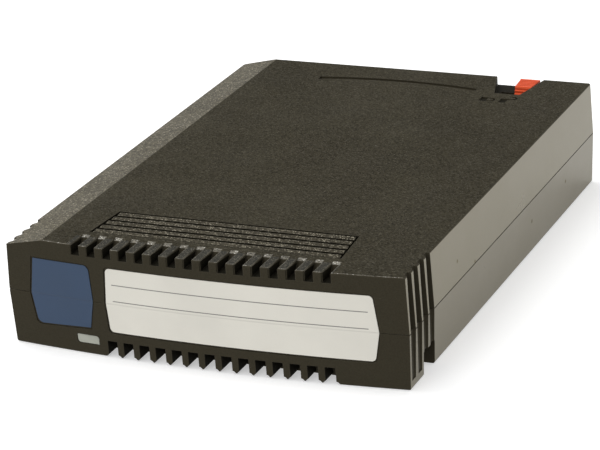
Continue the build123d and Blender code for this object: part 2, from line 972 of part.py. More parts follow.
def make_drive_cover():
    """pressed cover with a raised disc over the platters"""
    z0 = base_top + gasket_thickness
    raised = platter_radius - emboss_rim
    cover = drive_box(0, z0, drive_z1 - cover_emboss)
    cover += disc(raised, drive_z1 - cover_emboss, drive_z1, 0, spindle_y)
    cover -= disc(raised - emboss_wall, z0 - past, z0 + cover_emboss, 0, spindle_y)
    for x, y in cover_screw_places():
        cover -= disc(cover_screw_shank + screw_hole_gap, z0 - past, drive_z1 + past, x, y)
    return cover


def screws(places, z_seat, down, reach):
    """group of like screws, driven down or up from their seat"""
    group = Part()
    sign = -1 if down else 1
    for x, y in places:
        top = z_seat - sign * cover_screw_head
        tip = z_seat + sign * reach
        group += disc(cover_screw_radius, min(z_seat, top), max(z_seat, top), x, y)
        group += disc(cover_screw_shank - screw_thread_fit, min(z_seat, tip), max(z_seat, tip), x, y)
    return group


# Disk pack


def make_spindle_motor():
    """fixed flange, toothed stator and shaft"""
    motor = disc(motor_radius - motor_fit, base_floor - motor_flange, base_floor, 0, spindle_y)
    stator_top = base_floor + stator_height
    stator = disc(stator_radius, base_floor, stator_top, 0, spindle_y)
    slot = block(stator_core, stator_radius + past, -stator_slot / 2, stator_slot / 2, base_floor, stator_top)
    for i in range(stator_teeth):
        stator -= Pos(0, spindle_y, 0) * Rot(0, 0, i * 360 / stator_teeth) * slot
    shaft = disc(shaft_radius, base_floor, pack_top - shaft_end, 0, spindle_y)
    return motor + stator + shaft


def make_spindle_hub():
    """rotor cup that carries the disks"""
    hub = disc(hub_flange_radius, hub_z, lower_platter_z, 0, spindle_y)
    hub += disc(platter_bore - hub_gap, lower_platter_z, pack_top, 0, spindle_y)
    cup_top = base_floor + stator_height + stator_gap
    hub -= disc(stator_radius + stator_gap, hub_z - past, cup_top, 0, spindle_y)
    bore_top = pack_top - shaft_end + shaft_end_gap
    return hub - disc(shaft_radius + shaft_gap, hub_z - past, bore_top, 0, spindle_y)


def platter(z):
    """one disk"""
    solid = disc(platter_radius, z, z + platter_thickness, 0, spindle_y)
    return solid - disc(platter_bore, z - past, z + platter_thickness + past, 0, spindle_y)


def make_spacer():
    """ring between the disks"""
    z0 = lower_platter_z + platter_thickness
    ring = disc(hub_flange_radius, z0, upper_platter_z, 0, spindle_y)
    return ring - disc(platter_bore, z0 - past, upper_platter_z + past, 0, spindle_y)


def make_clamp():
    """clamp ring with a dished middle"""
    top = pack_top + clamp_thickness
    clamp = disc(clamp_radius, pack_top, top, 0, spindle_y)
    clamp -= disc(screw_head_radius + clamp_dish_gap, top - clamp_dish, top + past, 0, spindle_y)
    hole = disc(clamp_hole_radius, pack_top - past, top + past)
    for place in PolarLocations(clamp_hole_circle, clamp_hole_count):
        clamp -= Pos(0, spindle_y, 0) * place * hole
    return clamp


def make_clamp_screw():
    """screw in the middle of the clamp"""
    z0 = pack_top + clamp_thickness - clamp_dish
    z1 = z0 + screw_head_height
    socket = Pos(0, spindle_y, z1) * extrude(RegularPolygon(screw_socket_radius, 6), -screw_socket_depth)
    return disc(screw_head_radius, z0, z1, 0, spindle_y) - socket


# Actuator


def polar(radius, angle):
    """point at a radius and angle about the pivot"""
    return (pivot_x + radius * cos(radians(angle)), pivot_y + radius * sin(radians(angle)))


def sector(inner, outer, a0, a1, z0, z1):
    """ring segment about the pivot"""
    am = (a0 + a1) / 2
    edge = Curve() + [
        ThreePointArc(polar(outer, a0), polar(outer, am), polar(outer, a1)),
        Line(polar(outer, a1), polar(inner, a1)),
        ThreePointArc(polar(inner, a1), polar(inner, am), polar(inner, a0)),
        Line(polar(inner, a0), polar(outer, a0)),
    ]
    return Pos(0, 0, z0) * extrude(make_face(edge), z1 - z0)


def arm_levels():
    """undersides of the three arms: below, between and above the disks"""
    middle = lower_platter_z + platter_thickness + (platter_gap - arm_thickness) / 2
    step = platter_gap + platter_thickness
    return [middle - step, middle, middle + step]


def arm_blade(z):
    """one tapered arm, from the pivot to the heads"""
    a = parked_angle
    shoulder = pivot_radius + arm_shoulder
    spread = degrees(asin(arm_tip_width / 2 / arm_length))
    wide = degrees(asin(arm_root_width / 2 / shoulder))
    points = [
        polar(shoulder, a - wide), polar(arm_length, a - spread),
        polar(arm_length, a + spread), polar(shoulder, a + wide),
        polar(pivot_radius, a + arm_root_angle), polar(pivot_radius, a - arm_root_angle)
    ]
    blade = plate(points, z, z + arm_thickness)
    x, y = polar(arm_hole_reach, a)
    return blade - disc(arm_hole_radius, z - past, z + arm_thickness + past, x, y)


def make_actuator_arm():
    """block on the pivot with three arms and the fork that holds the coil"""
    levels = arm_levels()
    z0 = levels[0]
    z1 = levels[2] + arm_thickness
    arm = disc(pivot_radius, z0, z1, pivot_x, pivot_y)
    for z in levels:
        arm += arm_blade(z)
    c0 = coil_z()
    c1 = c0 + coil_thickness
    back = parked_angle - 180
    spread = coil_half_angle + fork_lead
    arm += sector(pivot_radius - fork_overlap, coil_inner, back - spread, back + spread, c0, c1)
    inner = coil_inner - fork_root
    outer = coil_outer - fork_short
    for side in (-1, 1):
        start = back + side * (coil_half_angle + fork_start)
        end = start + side * fork_angle
        arm += sector(inner, outer, min(start, end), max(start, end), c0, c1)
    return arm - disc(pivot_post_radius + pivot_gap, z0 - past, z1 + past, pivot_x, pivot_y)


def coil_z():
    """underside of the coil, level with the middle arm"""
    return arm_levels()[1] + (arm_thickness - coil_thickness) / 2


def make_voice_coil():
    """flat coil held in the fork of the arm"""
    z0 = coil_z()
    z1 = z0 + coil_thickness
    back = parked_angle - 180
    spread = coil_half_angle
    coil = sector(coil_inner, coil_outer, back - spread, back + spread, z0, z1)
    spread -= degrees(coil_band / ((coil_inner + coil_outer) / 2))
    inner = coil_inner + coil_band
    outer = coil_outer - coil_band
    return coil - sector(inner, outer, back - spread, back + spread, z0 - past, z1 + past)


def make_head_sliders():
    """the four heads at the ends of the arms, facing the disks"""
    low, middle, high = arm_levels()
    x, y = polar(arm_length - head_inset, parked_angle)
    body = Box(head_length, head_width, head_thickness)
    heads = Part()
    for z in (low + arm_thickness, middle - head_thickness, middle + arm_thickness, high - head_thickness):
        heads += Pos(x, y, z + head_thickness / 2) * Rot(0, 0, parked_angle) * body
    return heads


def make_pivot_post():
    """fixed post that the actuator turns on"""
    low, middle, high = arm_levels()
    post = disc(pivot_post_radius, base_floor, high + arm_thickness + post_end_gap, pivot_x, pivot_y)
    return post + disc(pivot_post_radius + post_flange, base_floor, low - post_end_gap, pivot_x, pivot_y)


def magnet_sector(inner, z0, z1):
    """ring segment as wide as the coil swings"""
    back = parked_angle - 180
    a0 = back - coil_half_angle - magnet_lead
    a1 = back + arm_swing + coil_half_angle + magnet_trail
    return sector(inner, magnet_outer, a0, a1, z0, z1)


def make_lower_magnet_plate():
    """magnet plate on the case floor, with the outer wall that carries the upper plate"""
    plate_top = coil_z() - magnet_gap
    upper = coil_z() + coil_thickness + magnet_gap
    wall_inner = magnet_outer - magnet_wall
    return magnet_sector(magnet_inner, base_floor, plate_top) + magnet_sector(wall_inner, base_floor, upper)


def make_upper_magnet_plate():
    """magnet plate that lies on the outer wall of the lower one"""
    z0 = coil_z() + coil_thickness + magnet_gap
    return magnet_sector(magnet_inner, z0, z0 + magnet_plate)


def ramp_block(gap, z0, z1):
    """body of the load ramp, or the pocket that it stands in"""
    x, y = polar(arm_length + ramp_length / 2 + ramp_gap, parked_angle)
    body = Box(ramp_length + 2 * gap, ramp_width + 2 * gap, z1 - z0)
    return Pos(x, y, (z0 + z1) / 2) * Rot(0, 0, parked_angle) * body


def make_load_ramp():
    """comb beside the disks that the arm tips park on"""
    levels = arm_levels()
    ramp = ramp_block(0, base_floor, levels[2] + arm_thickness)
    x, y = polar(arm_length, parked_angle)
    finger = Box(ramp_finger_length, ramp_width, ramp_finger)
    for z in levels:
        ramp += Pos(x, y, z - ramp_finger_gap - ramp_finger / 2) * Rot(0, 0, parked_angle) * finger
    return ramp


# Boards and connectors


def make_drive_board():
    """board in the recess under the drive"""
    w = drive_board_width / 2
    board = block(-w, w, board_y0, drive_y1 - board_rear_inset, board_z, board_z + board_thickness)
    notch_y = plug_y - plug_pocket_gap - board_rear_inset
    board -= block(-plug_half, plug_half, notch_y, drive_y1 + past, drive_z0 - past, drive_z1)
    for x, y in board_screw_places():
        board -= disc(cover_screw_shank + screw_hole_gap, drive_z0 - past, drive_z1, x, y)
    return board


def make_drive_chips():
    """packages soldered to the underside of the drive board: middle from its front edge, and size"""
    places = [(-12, 12, 14, 14), (10, 10, 8, 10), (-2, 32, 9, 6), (20, 26, 6, 6), (-22, 28, 5, 7)]
    chips = Part()
    for x, y, chip_width, chip_length in places:
        w = chip_width / 2
        t = chip_length / 2
        chips += block(x - w, x + w, board_y0 + y - t, board_y0 + y + t, board_z - chip_height, board_z)
    return chips


def contact_row(y0, y1, z0, z1, span):
    """row of like contacts"""
    row = Part()
    for i in range(contact_count):
        x = (i - (contact_count - 1) / 2) * span / contact_count
        row += block(x - contact_width / 2, x + contact_width / 2, y0, y1, z0, z1)
    return row


def make_drive_connector():
    """plug of the drive: a flat tongue on a back wall"""
    w = plug_width / 2
    h = plug_thickness / 2
    t = tongue_thickness / 2
    back = block(-w, w, plug_y, plug_y + plug_back, plug_z - h, plug_z + h)
    w -= tongue_side
    return back + block(-w, w, plug_y, drive_y1 - board_rear_inset, plug_z - t, plug_z + t)


def make_drive_contacts():
    """contacts on the lower side of the plug's tongue"""
    z = plug_z - tongue_thickness / 2
    y0 = plug_y + plug_back + contact_gap
    return contact_row(y0, drive_y1 - contact_inset, z - contact_thickness, z, plug_width - 2 * contact_side)


def make_drive_socket():
    """socket of the interface board that takes the drive's plug"""
    w = plug_width / 2 + socket_wall
    h = plug_thickness / 2 + socket_lip
    y0 = plug_y + plug_back + socket_gap
    socket = block(-w, w, y0, interface_y, plug_z - h, plug_z + h)
    w -= socket_side
    t = tongue_thickness / 2 + contact_thickness + contact_gap
    return socket - block(-w, w, y0 - past, drive_y1 + socket_back, plug_z - t, plug_z + t)


def make_interface_board():
    """upright board between the drive and the rear connector"""
    w = interface_width / 2
    z0 = floor_wall + mount_gap
    board = block(-w, w, interface_y, interface_y + board_thickness, z0, z0 + interface_height)
    return board - pipe_bar(interface_notch_gap)


def make_rear_connector():
    """housing in the rear opening, with a wide mouth for the dock's plug"""
    w = rear_mouth_width / 2
    h = rear_mouth_height / 2
    y0 = interface_y + board_thickness
    y1 = rear - rear_recess
    t = rear_housing_wall
    housing = block(-w - t, w + t, y0, y1, parting - h - t, parting + h + t)
    housing -= block(-w, w, y0 + rear_housing_back, y1 + past, parting - h, parting + h)
    return housing


def make_rear_contacts():
    """contacts lying on the lower wall of the mouth"""
    z = parting - rear_mouth_height / 2
    y0 = interface_y + board_thickness + rear_housing_back
    y1 = rear - rear_recess - contact_inset
    return contact_row(y0, y1, z, z + contact_thickness, rear_mouth_width - 2 * rear_contact_side)


# Rubber mounts


def corner_mount(side, at_front):
    """rubber block that hugs one corner of the drive"""
    inner = drive_width / 2 - mount_inner
    z0 = floor_wall + mount_gap
    z1 = roof_z - mount_gap
    if at_front:
        outer = half - grip_wall - mount_gap
        y0 = front_block_end + mount_gap
        y1 = drive_y0 + mount_length
        nose_z0 = bottom_slot_depth + wall + mount_gap
        nose_z1 = height - top_slot_depth - wall - mount_gap
        nose_y0 = front_corner + wall + mount_nose_gap
        body = block(inner, outer, y0, y1, z0, z1) + block(inner, outer, nose_y0, y0, nose_z0, nose_z1)
    else:
        outer = half - side_draft_bottom - wall - mount_gap
        y0 = drive_y1 - mount_length
        y1 = drive_y1 + mount_rear_reach
        body = block(inner, outer, y0, y1, z0, z1)
    middle = (y0 + y1) / 2
    w = mount_slot / 2
    for z in (z0, z1):
        ends = (z - mount_slot, z + mount_slot)
        body -= block(inner - past, outer - mount_slot, middle - w, middle + w, *ends)
    if side < 0:
        body = mirror(body, Plane.YZ)
    else:
        body -= latch_space(latch_wall + mount_gap)
    body -= drive_box(mount_gap, drive_z0 - mount_gap, drive_z1 + mount_gap)
    foot_space = notch_z - notch_floor - foot_thickness - past
    body -= slider_notch(notch_frame + mount_gap, foot_space, height)
    return body


def build():
    """every piece of the cartridge by name"""
    pieces = {
        "top_shell": make_top_shell(),
        "bottom_shell": make_bottom_shell(),
        "capacity_label": label(capacity_face(0)),
        "write_on_label": label(note_face(0)),
        "light_pipe": make_light_pipe(),
        "write_protect_slider": make_slider(),
        "drive_base": make_drive_base(),
        "cover_gasket": make_cover_gasket(),
        "drive_cover": make_drive_cover(),
        "cover_screws": screws(cover_screw_places(), drive_z1 - cover_emboss, True, cover_screw_reach),
        "board_screws": screws(board_screw_places(), board_z, False, board_screw_reach),
        "spindle_motor": make_spindle_motor(),
        "spindle_hub": make_spindle_hub(),
        "lower_platter": platter(lower_platter_z),
        "platter_spacer": make_spacer(),
        "upper_platter": platter(upper_platter_z),
        "disc_clamp": make_clamp(),
        "clamp_screw": make_clamp_screw(),
        "pivot_post": make_pivot_post(),
        "actuator_arm": make_actuator_arm(),
        "voice_coil": make_voice_coil(),
        "head_sliders": make_head_sliders(),
        "load_ramp": make_load_ramp(),
        "lower_magnet_plate": make_lower_magnet_plate(),
        "upper_magnet_plate": make_upper_magnet_plate(),
        "drive_board": make_drive_board(),
        "drive_board_chips": make_drive_chips(),
        "drive_connector": make_drive_connector(),
        "drive_connector_contacts": make_drive_contacts(),
        "drive_socket": make_drive_socket(),
        "interface_board": make_interface_board(),
        "rear_connector": make_rear_connector(),
        "rear_connector_contacts": make_rear_contacts(),
    }
    for at_front, end in ((True, "front"), (False, "rear")):
        for side, name in ((-1, "left"), (1, "right")):
            pieces[f"corner_mount_{end}_{name}"] = corner_mount(side, at_front)
    return pieces


def main():
    os.makedirs("parts", exist_ok=True)
    for name, piece in build().items():
        export_step(piece, f"parts/{name}.step")
    print("parked arm angle", round(parked_angle, 2), "swing", round(arm_swing, 2))


main()
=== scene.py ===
import math

import bmesh
import bpy
from mathutils import Euler, Matrix, Vector


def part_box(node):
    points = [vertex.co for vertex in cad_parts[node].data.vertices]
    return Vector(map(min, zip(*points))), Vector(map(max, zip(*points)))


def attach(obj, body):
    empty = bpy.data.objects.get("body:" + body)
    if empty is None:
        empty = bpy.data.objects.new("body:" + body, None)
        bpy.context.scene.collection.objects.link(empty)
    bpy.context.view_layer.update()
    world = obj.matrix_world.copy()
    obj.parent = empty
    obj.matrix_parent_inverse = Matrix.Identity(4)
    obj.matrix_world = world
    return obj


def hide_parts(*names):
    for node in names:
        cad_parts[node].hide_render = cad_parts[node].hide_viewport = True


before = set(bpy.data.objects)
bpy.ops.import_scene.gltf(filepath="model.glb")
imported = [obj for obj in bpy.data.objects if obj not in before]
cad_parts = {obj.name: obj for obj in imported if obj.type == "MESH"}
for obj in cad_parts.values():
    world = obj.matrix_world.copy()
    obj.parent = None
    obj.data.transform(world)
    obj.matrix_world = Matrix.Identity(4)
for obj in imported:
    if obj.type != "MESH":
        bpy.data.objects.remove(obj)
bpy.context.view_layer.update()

MM = 0.001

# Places on the housing, in metres, as in the source of the solids
HALF_WIDTH = 43.25 * MM
TOP = 23.5 * MM
PARTING = 11.8 * MM
FRONT_APEX = -59.5 * MM
BAR_REAR = FRONT_APEX + 5.9 * MM
SLAT_FRONT = FRONT_APEX + 8.3 * MM
BAR_HALF = 28.6 * MM
SLOT_END = FRONT_APEX + 6.8 * MM
SLOTS_HALF = 31.0 * MM
SHALLOW = 0.4 * MM
GROOVE_FLOOR = 0.5 * MM
GRIP_DEPTH = 1.3 * MM
GRIPS_END = -43.7 * MM
NOTCH_FRONT = 47.8 * MM
NOTCH_LEFT = 20.0 * MM
NOTCH_RIGHT = 32.5 * MM
NOTCH_DEPTH = 2.3 * MM
SLAT_REAR = SLAT_FRONT + 12.0 * MM
SLATS_HALF = 28.0 * MM
SLAT_DEPTH = 1.5 * MM
KNOB_TOP_FRONT = 53.5 * MM
KNOB_GROOVE_PITCH = 0.867 * MM
KNOB_GROOVE_DEPTH = 0.36 * MM

# How far a face's normal points along an axis, to tell which way the face looks
STRAIGHT = 0.9
SLANTED = 0.5
FLAT_FRONT = 0.98
LEANS_FORWARD = 0.05
LEANS_LEFT = 0.1

# Meshes: distances for joining and cutting, and the angle of a sharp edge in degrees
WELD = 0.0005 * MM
CHIP_WELD = 0.001 * MM
CUT_TOLERANCE = 0.001 * MM
SHARP_EDGE = 24
NORMAL_WEIGHT = 100

# Camera: place, turns in degrees, lens and sensor in millimetres, nearest and farthest distance
EYE = Vector((216.47, -484.17, 217.82)) * MM
CAMERA_TURN = 24.49
CAMERA_TILT = 68.42
CAMERA_ROLL = -3.63
CAMERA_LENS = 159.69
CAMERA_SENSOR = 36.0
CAMERA_RANGE = (0.01, 20.0)

# Floor and surroundings
FLOOR_LEVEL = -0.05 * MM
FLOOR_REACH = 6.0
FLOOR_GREY = (0.7, 0.7, 0.7, 1.0)
FLOOR_GLOW = 0.45
WORLD_LIGHT = 0.55

# Square lamps that face the origin: place, size and power
LAMPS = {
    "overhead_lamp": ((-0.38, 0.10, 0.85), 0.8, 6.3),
    "side_lamp": ((0.8, 0.1, 0.5), 0.6, 1.4),
    "front_lamp": ((-0.3, -1.0, 0.35), 0.6, 3.8),
}

# Colours, as linear values
PLASTIC = (0.028, 0.0247, 0.0163)
SATIN_PLASTIC = (0.037, 0.032, 0.0210)
# lighter colour for the forward-leaning rear ends of the front slots: painted light that stands in for
# the light they catch
SLOT_END_PAINTED_LIGHT = (0.10, 0.092, 0.074)
# near-black colour for the slot insides, slat grooves, notch ledge and lock marks: painted shade in
# recesses
PAINTED_SHADE_PLASTIC = (0.010, 0.009, 0.006)
BAR_PLASTIC = (0.020, 0.019, 0.015)
SLAT_PLASTIC = (0.030, 0.026, 0.017)
# lighter colour for the left bevel of the top: painted light on faces turned towards the lamps
PAINTED_LIT_BEVEL = (0.053, 0.0465, 0.031)
# colour of wear and of painted glints on the housing plastic
WEAR_AND_GLINT_PLASTIC = (0.16, 0.145, 0.11)
# colour of painted glints and painted edge highlights on the bevel, slats and bars
GLINT_AND_EDGE_HIGHLIGHT = (0.34, 0.31, 0.235)
# side walls: the upper half lighter than the top plastic as a painted reflection, the lower half darker
# as painted shade
SIDE_PAINTED_REFLECTION = (0.060, 0.048, 0.016)
LOWER_SIDE_PAINTED_SHADE = (0.036, 0.0265, 0.004)
WARM = (1.0, 0.94, 0.76, 1.0)
AMBER = (1.0, 0.90, 0.64, 1.0)
WHITE = (1.0, 1.0, 1.0, 1.0)
ORANGE = (0.65, 0.084, 0.026)
PAINTED_SHADE_ORANGE = (0.42, 0.045, 0.013)
BLUE = (0.029, 0.056, 0.108)
PAPER = (0.795, 0.77, 0.69)
INK = (0.22, 0.215, 0.20)
FROSTED = (0.45, 0.46, 0.39)
ALLOY = (0.42, 0.42, 0.41)
STEEL = (0.55, 0.55, 0.54)
DARK_STEEL = (0.20, 0.20, 0.20)
NICKEL = (0.60, 0.58, 0.53)
DISK = (0.50, 0.50, 0.515)
COPPER = (0.72, 0.26, 0.10)
GOLD = (0.83, 0.56, 0.20)
TIN = (0.62, 0.62, 0.60)
RUBBER = (0.028, 0.028, 0.030)
FOAM = (0.020, 0.020, 0.020)
CERAMIC = (0.045, 0.045, 0.048)
NATURAL = (0.60, 0.52, 0.36)
LAMINATE = (0.010, 0.110, 0.040)
TRACE = (0.022, 0.190, 0.075)
EPOXY = (0.016, 0.016, 0.017)
CONNECTOR_BLACK = (0.017, 0.0155, 0.012)
RESISTOR = (0.030, 0.032, 0.050)
# colour of wear and of painted glints on the orange slider
WEAR_AND_GLINT_ORANGE = (0.80, 0.20, 0.09)
WORN_FROST = (0.62, 0.63, 0.58)
DUST = (0.35, 0.34, 0.30)
SOCKET_SHADOW = (0.03, 0.03, 0.03)

# Ruled lines of the write-on label
RULES = (16.0 * MM, 12.5 * MM)
RULE_WIDTH = 0.2 * MM
RULE_LEFT = -18.85 * MM
RULE_RIGHT = 35.2 * MM

# Small dull spots on the right wall: how far back and how high they lie, and their radius
SPOTS = ((-29.9, 16.1, 0.55), (-20.3, 12.2, 0.5), (15.6, 7.0, 0.6), (38.8, 7.5, 0.55))

# Lock marks cut into the top beside the slider
LOCK_Y = 43.5 * MM
LOCKED_X = 22.0 * MM
UNLOCKED_X = 26.6 * MM
LOCK_DEPTH = 0.35 * MM
LOCK_BODY = 1.7 * MM
LOCK_HALF = 1.35 * MM
BOW_OUT = 1.15 * MM
BOW_IN = 0.6 * MM
BOW_LEG = 0.9 * MM
BOW_LAP = 0.1 * MM
BOW_CUT = 0.4 * MM
BOW_STEPS = 16
LOCKS_FRONT = LOCK_Y - 2.0 * MM
LOCKS_LEFT = LOCKED_X - 1.0 * MM

# Leads of the chips: how they fold, in millimetres out from the chip's edge and down from the board
LEAD_FOLD = ((-0.15, 0.45), (0.25, 0.45), (0.42, 0.08), (0.85, 0.06))
LEAD_WIDTH = 0.28 * MM
LEAD_THICKNESS = 0.12 * MM
LEAD_PITCH = 0.8 * MM

# Windings on the teeth of the motor
WINDING_SIZE = (2.0 * MM, 2.3 * MM, 1.5 * MM)
WINDING_ROUND = 0.35 * MM
WINDING_MIDDLE = 0.95 * MM
WINDING_FLOOR = 0.6 * MM
WINDING_COUNT = 9
WINDING_CIRCLE = 6.2 * MM

# Small parts under the drive board: their grid in millimetres, the share of it in use, what stays clear
PART_COLUMNS = 26
PART_ROWS = 16
PART_START = (2.4, 3.6)
PART_PITCH = (2.25, 2.3)
PART_SHARE = 0.42
PART_SEED = 7
PART_ROUND = 0.04 * MM
CORE_SIZE = (0.9 * MM, 0.55 * MM, 0.34 * MM)
CORE_DROP = 0.19 * MM
CAP_SIZE = (0.26 * MM, 0.58 * MM, 0.36 * MM)
CAP_DROP = 0.18 * MM
CAP_OUT = 0.52 * MM
CHIP_CLEARANCE = 1.6 * MM
SCREW_INSET = 2.2 * MM
SCREW_CLEARANCE = 2.4 * MM

# Sockets of the screws, drawn as dark plates of painted shade: a rim that waves between two circles
SOCKET_LOBES = 6
SOCKET_POINTS = 24
SOCKET_OUTER = 0.62 * MM
SOCKET_INNER = 0.45 * MM
SOCKET_HALF = 0.02 * MM
HEAD_TOLERANCE = 0.02 * MM
HEAD_REACH = 4.0 * MM


# Node helpers


def new_material(name):
    """material and its node tree"""
    material = bpy.data.materials.new(name)
    material.use_nodes = True
    return material, material.node_tree


def wire_shader(tree, color, roughness, normal, values=None):
    """feeds the Principled shader's colour, roughness and normal, and sets its other inputs"""
    inputs = tree.nodes["Principled BSDF"].inputs
    tree.links.new(color, inputs["Base Color"])
    tree.links.new(roughness, inputs["Roughness"])
    tree.links.new(normal, inputs["Normal"])
    for key, value in (values or {}).items():
        inputs[key].default_value = value


def feed(tree, value, socket):
    """links an output to an input, or sets the input to a constant"""
    if isinstance(value, bpy.types.NodeSocket):
        tree.links.new(value, socket)
    else:
        socket.default_value = value


def math_node(tree, operation, first, second=0.0, clamp=False):
    """result of one sum on sockets or numbers"""
    node = tree.nodes.new("ShaderNodeMath")
    node.operation = operation
    node.use_clamp = clamp
    feed(tree, first, node.inputs[0])
    feed(tree, second, node.inputs[1])
    return node.outputs[0]


def times(tree, first, second):
    """product of two sockets or numbers"""
    return math_node(tree, "MULTIPLY", first, second)


def within(tree, value, middle, reach):
    """1 where a value is no further than the reach from the middle, and 0 elsewhere"""
    close = math_node(tree, "COMPARE", value, middle)
    close.node.inputs[2].default_value = reach
    return close


def vector_node(tree, operation, first, second):
    """outputs of one sum on two vectors"""
    node = tree.nodes.new("ShaderNodeVectorMath")
    node.operation = operation
    tree.links.new(first, node.inputs[0])
    tree.links.new(second, node.inputs[1])
    return node.outputs


def stretch(tree, value, low, high, to_low=0.0, to_high=1.0):
    """value moved from one range to another and held inside it"""
    node = tree.nodes.new("ShaderNodeMapRange")
    feed(tree, value, node.inputs["Value"])
    node.inputs["From Min"].default_value = low
    node.inputs["From Max"].default_value = high
    node.inputs["To Min"].default_value = to_low
    node.inputs["To Max"].default_value = to_high
    return node.outputs["Result"]


def blend_colors(tree, mask, first, second):
    """first colour where the mask is 0 and the second where it is 1"""
    node = tree.nodes.new("ShaderNodeMix")
    node.data_type = "RGBA"
    sockets = {socket.identifier: socket for socket in node.inputs}
    feed(tree, mask, sockets["Factor_Float"])
    for value, key in ((first, "A_Color"), (second, "B_Color")):
        if isinstance(value, tuple):
            value = (*value[:3], 1.0)
        feed(tree, value, sockets[key])
    return next(socket for socket in node.outputs if socket.identifier == "Result_Color")


def tinted(color, factor):
    """the colour made darker or lighter, with no part over 1"""
    return tuple(min(1.0, factor * part) for part in color)


def object_point(tree):
    """place on the piece, in metres"""
    return tree.nodes.new("ShaderNodeTexCoord").outputs["Object"]


def split(tree, vector):
    """the three parts of a vector"""
    node = tree.nodes.new("ShaderNodeSeparateXYZ")
    tree.links.new(vector, node.inputs[0])
    return node.outputs["X"], node.outputs["Y"], node.outputs["Z"]


def noise(tree, scale, detail=2.0, roughness=0.5, point=None):
    """noise value between 0 and 1"""
    node = tree.nodes.new("ShaderNodeTexNoise")
    tree.links.new(point or object_point(tree), node.inputs["Vector"])
    feed(tree, scale, node.inputs["Scale"])
    node.inputs["Detail"].default_value = detail
    node.inputs["Roughness"].default_value = roughness
    return node.outputs["Fac"]


def cells(tree, scale, point=None):
    """distance to the nearest of many scattered points, in cells, and a random value for each cell"""
    node = tree.nodes.new("ShaderNodeTexVoronoi")
    tree.links.new(point or object_point(tree), node.inputs["Vector"])
    feed(tree, scale, node.inputs["Scale"])
    chance = split(tree, node.outputs["Color"])[0]
    return node.outputs["Distance"], chance


def bump(tree, height, depth, normal=None):
    """normal of a surface with this relief, its depth in metres"""
    node = tree.nodes.new("ShaderNodeBump")
    feed(tree, height, node.inputs["Height"])
    node.inputs["Distance"].default_value = depth
    if normal:
        tree.links.new(normal, node.inputs["Normal"])
    return node.outputs["Normal"]


def shader_group(name, inputs, outputs):
    """empty shader node group; inputs have a default, and an output named Normal is a vector"""
    tree = bpy.data.node_groups.new(name, "ShaderNodeTree")
    for key, value in inputs.items():
        kind = "NodeSocketVector" if isinstance(value, tuple) else "NodeSocketFloat"
        socket = tree.interface.new_socket(key, in_out="INPUT", socket_type=kind)
        socket.default_value = value
    for key in outputs:
        kind = "NodeSocketVector" if key == "Normal" else "NodeSocketFloat"
        tree.interface.new_socket(key, in_out="OUTPUT", socket_type=kind)
    return tree, tree.nodes.new("NodeGroupInput").outputs, tree.nodes.new("NodeGroupOutput").inputs


def place_group(tree, group, values=None):
    """the group as a node of a material, with its own values"""
    node = tree.nodes.new("ShaderNodeGroup")
    node.node_tree = group
    for key, value in (values or {}).items():
        feed(tree, value, node.inputs[key])
    return node.outputs


# Effects that more than one finish uses


def make_moulded_grain():
    """spark-eroded grain of a mould: relief, sparse painted glints (bright specks that stand in for
    highlights on the grains) and slow clouds
    """
    tree, given, out = shader_group("moulded_grain", {"Size": 0.4 * MM}, ("Height", "Painted glint", "Cloud"))
    scale = math_node(tree, "DIVIDE", 1.0, given["Size"])
    fine = noise(tree, scale, 3.0, 0.6)
    distance, chance = cells(tree, times(tree, scale, 0.8))
    height = math_node(tree, "ADD", times(tree, fine, 0.6), times(tree, distance, 0.5))
    tree.links.new(height, out["Height"])
    near = stretch(tree, distance, 0.55, 0.20)
    lucky = stretch(tree, chance, 0.35, 0.90)
    tree.links.new(times(tree, near, lucky), out["Painted glint"])
    tree.links.new(noise(tree, 70.0, 4.0, 0.55), out["Cloud"])
    return tree


def make_soft_edges():
    """rounds the shading of hard edges and marks where hands and docks have polished them; the mark also
    serves as a painted edge highlight
    """
    tree, given, out = shader_group("soft_edges", {"Radius": 0.15 * MM}, ("Normal", "Wear and highlight"))
    bevel = tree.nodes.new("ShaderNodeBevel")
    bevel.samples = 4
    tree.links.new(given["Radius"], bevel.inputs["Radius"])
    tree.links.new(bevel.outputs["Normal"], out["Normal"])
    geometry = tree.nodes.new("ShaderNodeNewGeometry")
    turned = vector_node(tree, "DOT_PRODUCT", bevel.outputs["Normal"], geometry.outputs["Normal"])
    edge = stretch(tree, turned["Value"], 0.995, 0.80)
    patchy = stretch(tree, noise(tree, 220.0, 3.0, 0.6), 0.30, 0.62)
    tree.links.new(times(tree, edge, patchy), out["Wear and highlight"])
    return tree


def make_handling():
    """smears from hands and a few specks of dust"""
    tree, given, out = shader_group("handling", {"Smear size": 18.0 * MM}, ("Smear", "Dust"))
    scale = math_node(tree, "DIVIDE", 1.0, given["Smear size"])
    tree.links.new(stretch(tree, noise(tree, scale, 5.0, 0.62), 0.35, 0.70), out["Smear"])
    distance, chance = cells(tree, 260.0)
    speck = math_node(tree, "LESS_THAN", distance, 0.030)
    few = math_node(tree, "GREATER_THAN", chance, 0.70)
    tree.links.new(times(tree, speck, few), out["Dust"])
    return tree


def make_dull_spot():
    """round soft mark about a point"""
    tree, given, out = shader_group(
        "dull_spot", {"Center": (0.0, 0.0, 0.0), "Radius": 0.5 * MM}, ("Mask",)
    )
    away = vector_node(tree, "DISTANCE", object_point(tree), given["Center"])["Value"]
    share = math_node(tree, "DIVIDE", away, given["Radius"])
    tree.links.new(stretch(tree, share, 1.0, 0.35), out["Mask"])
    return tree


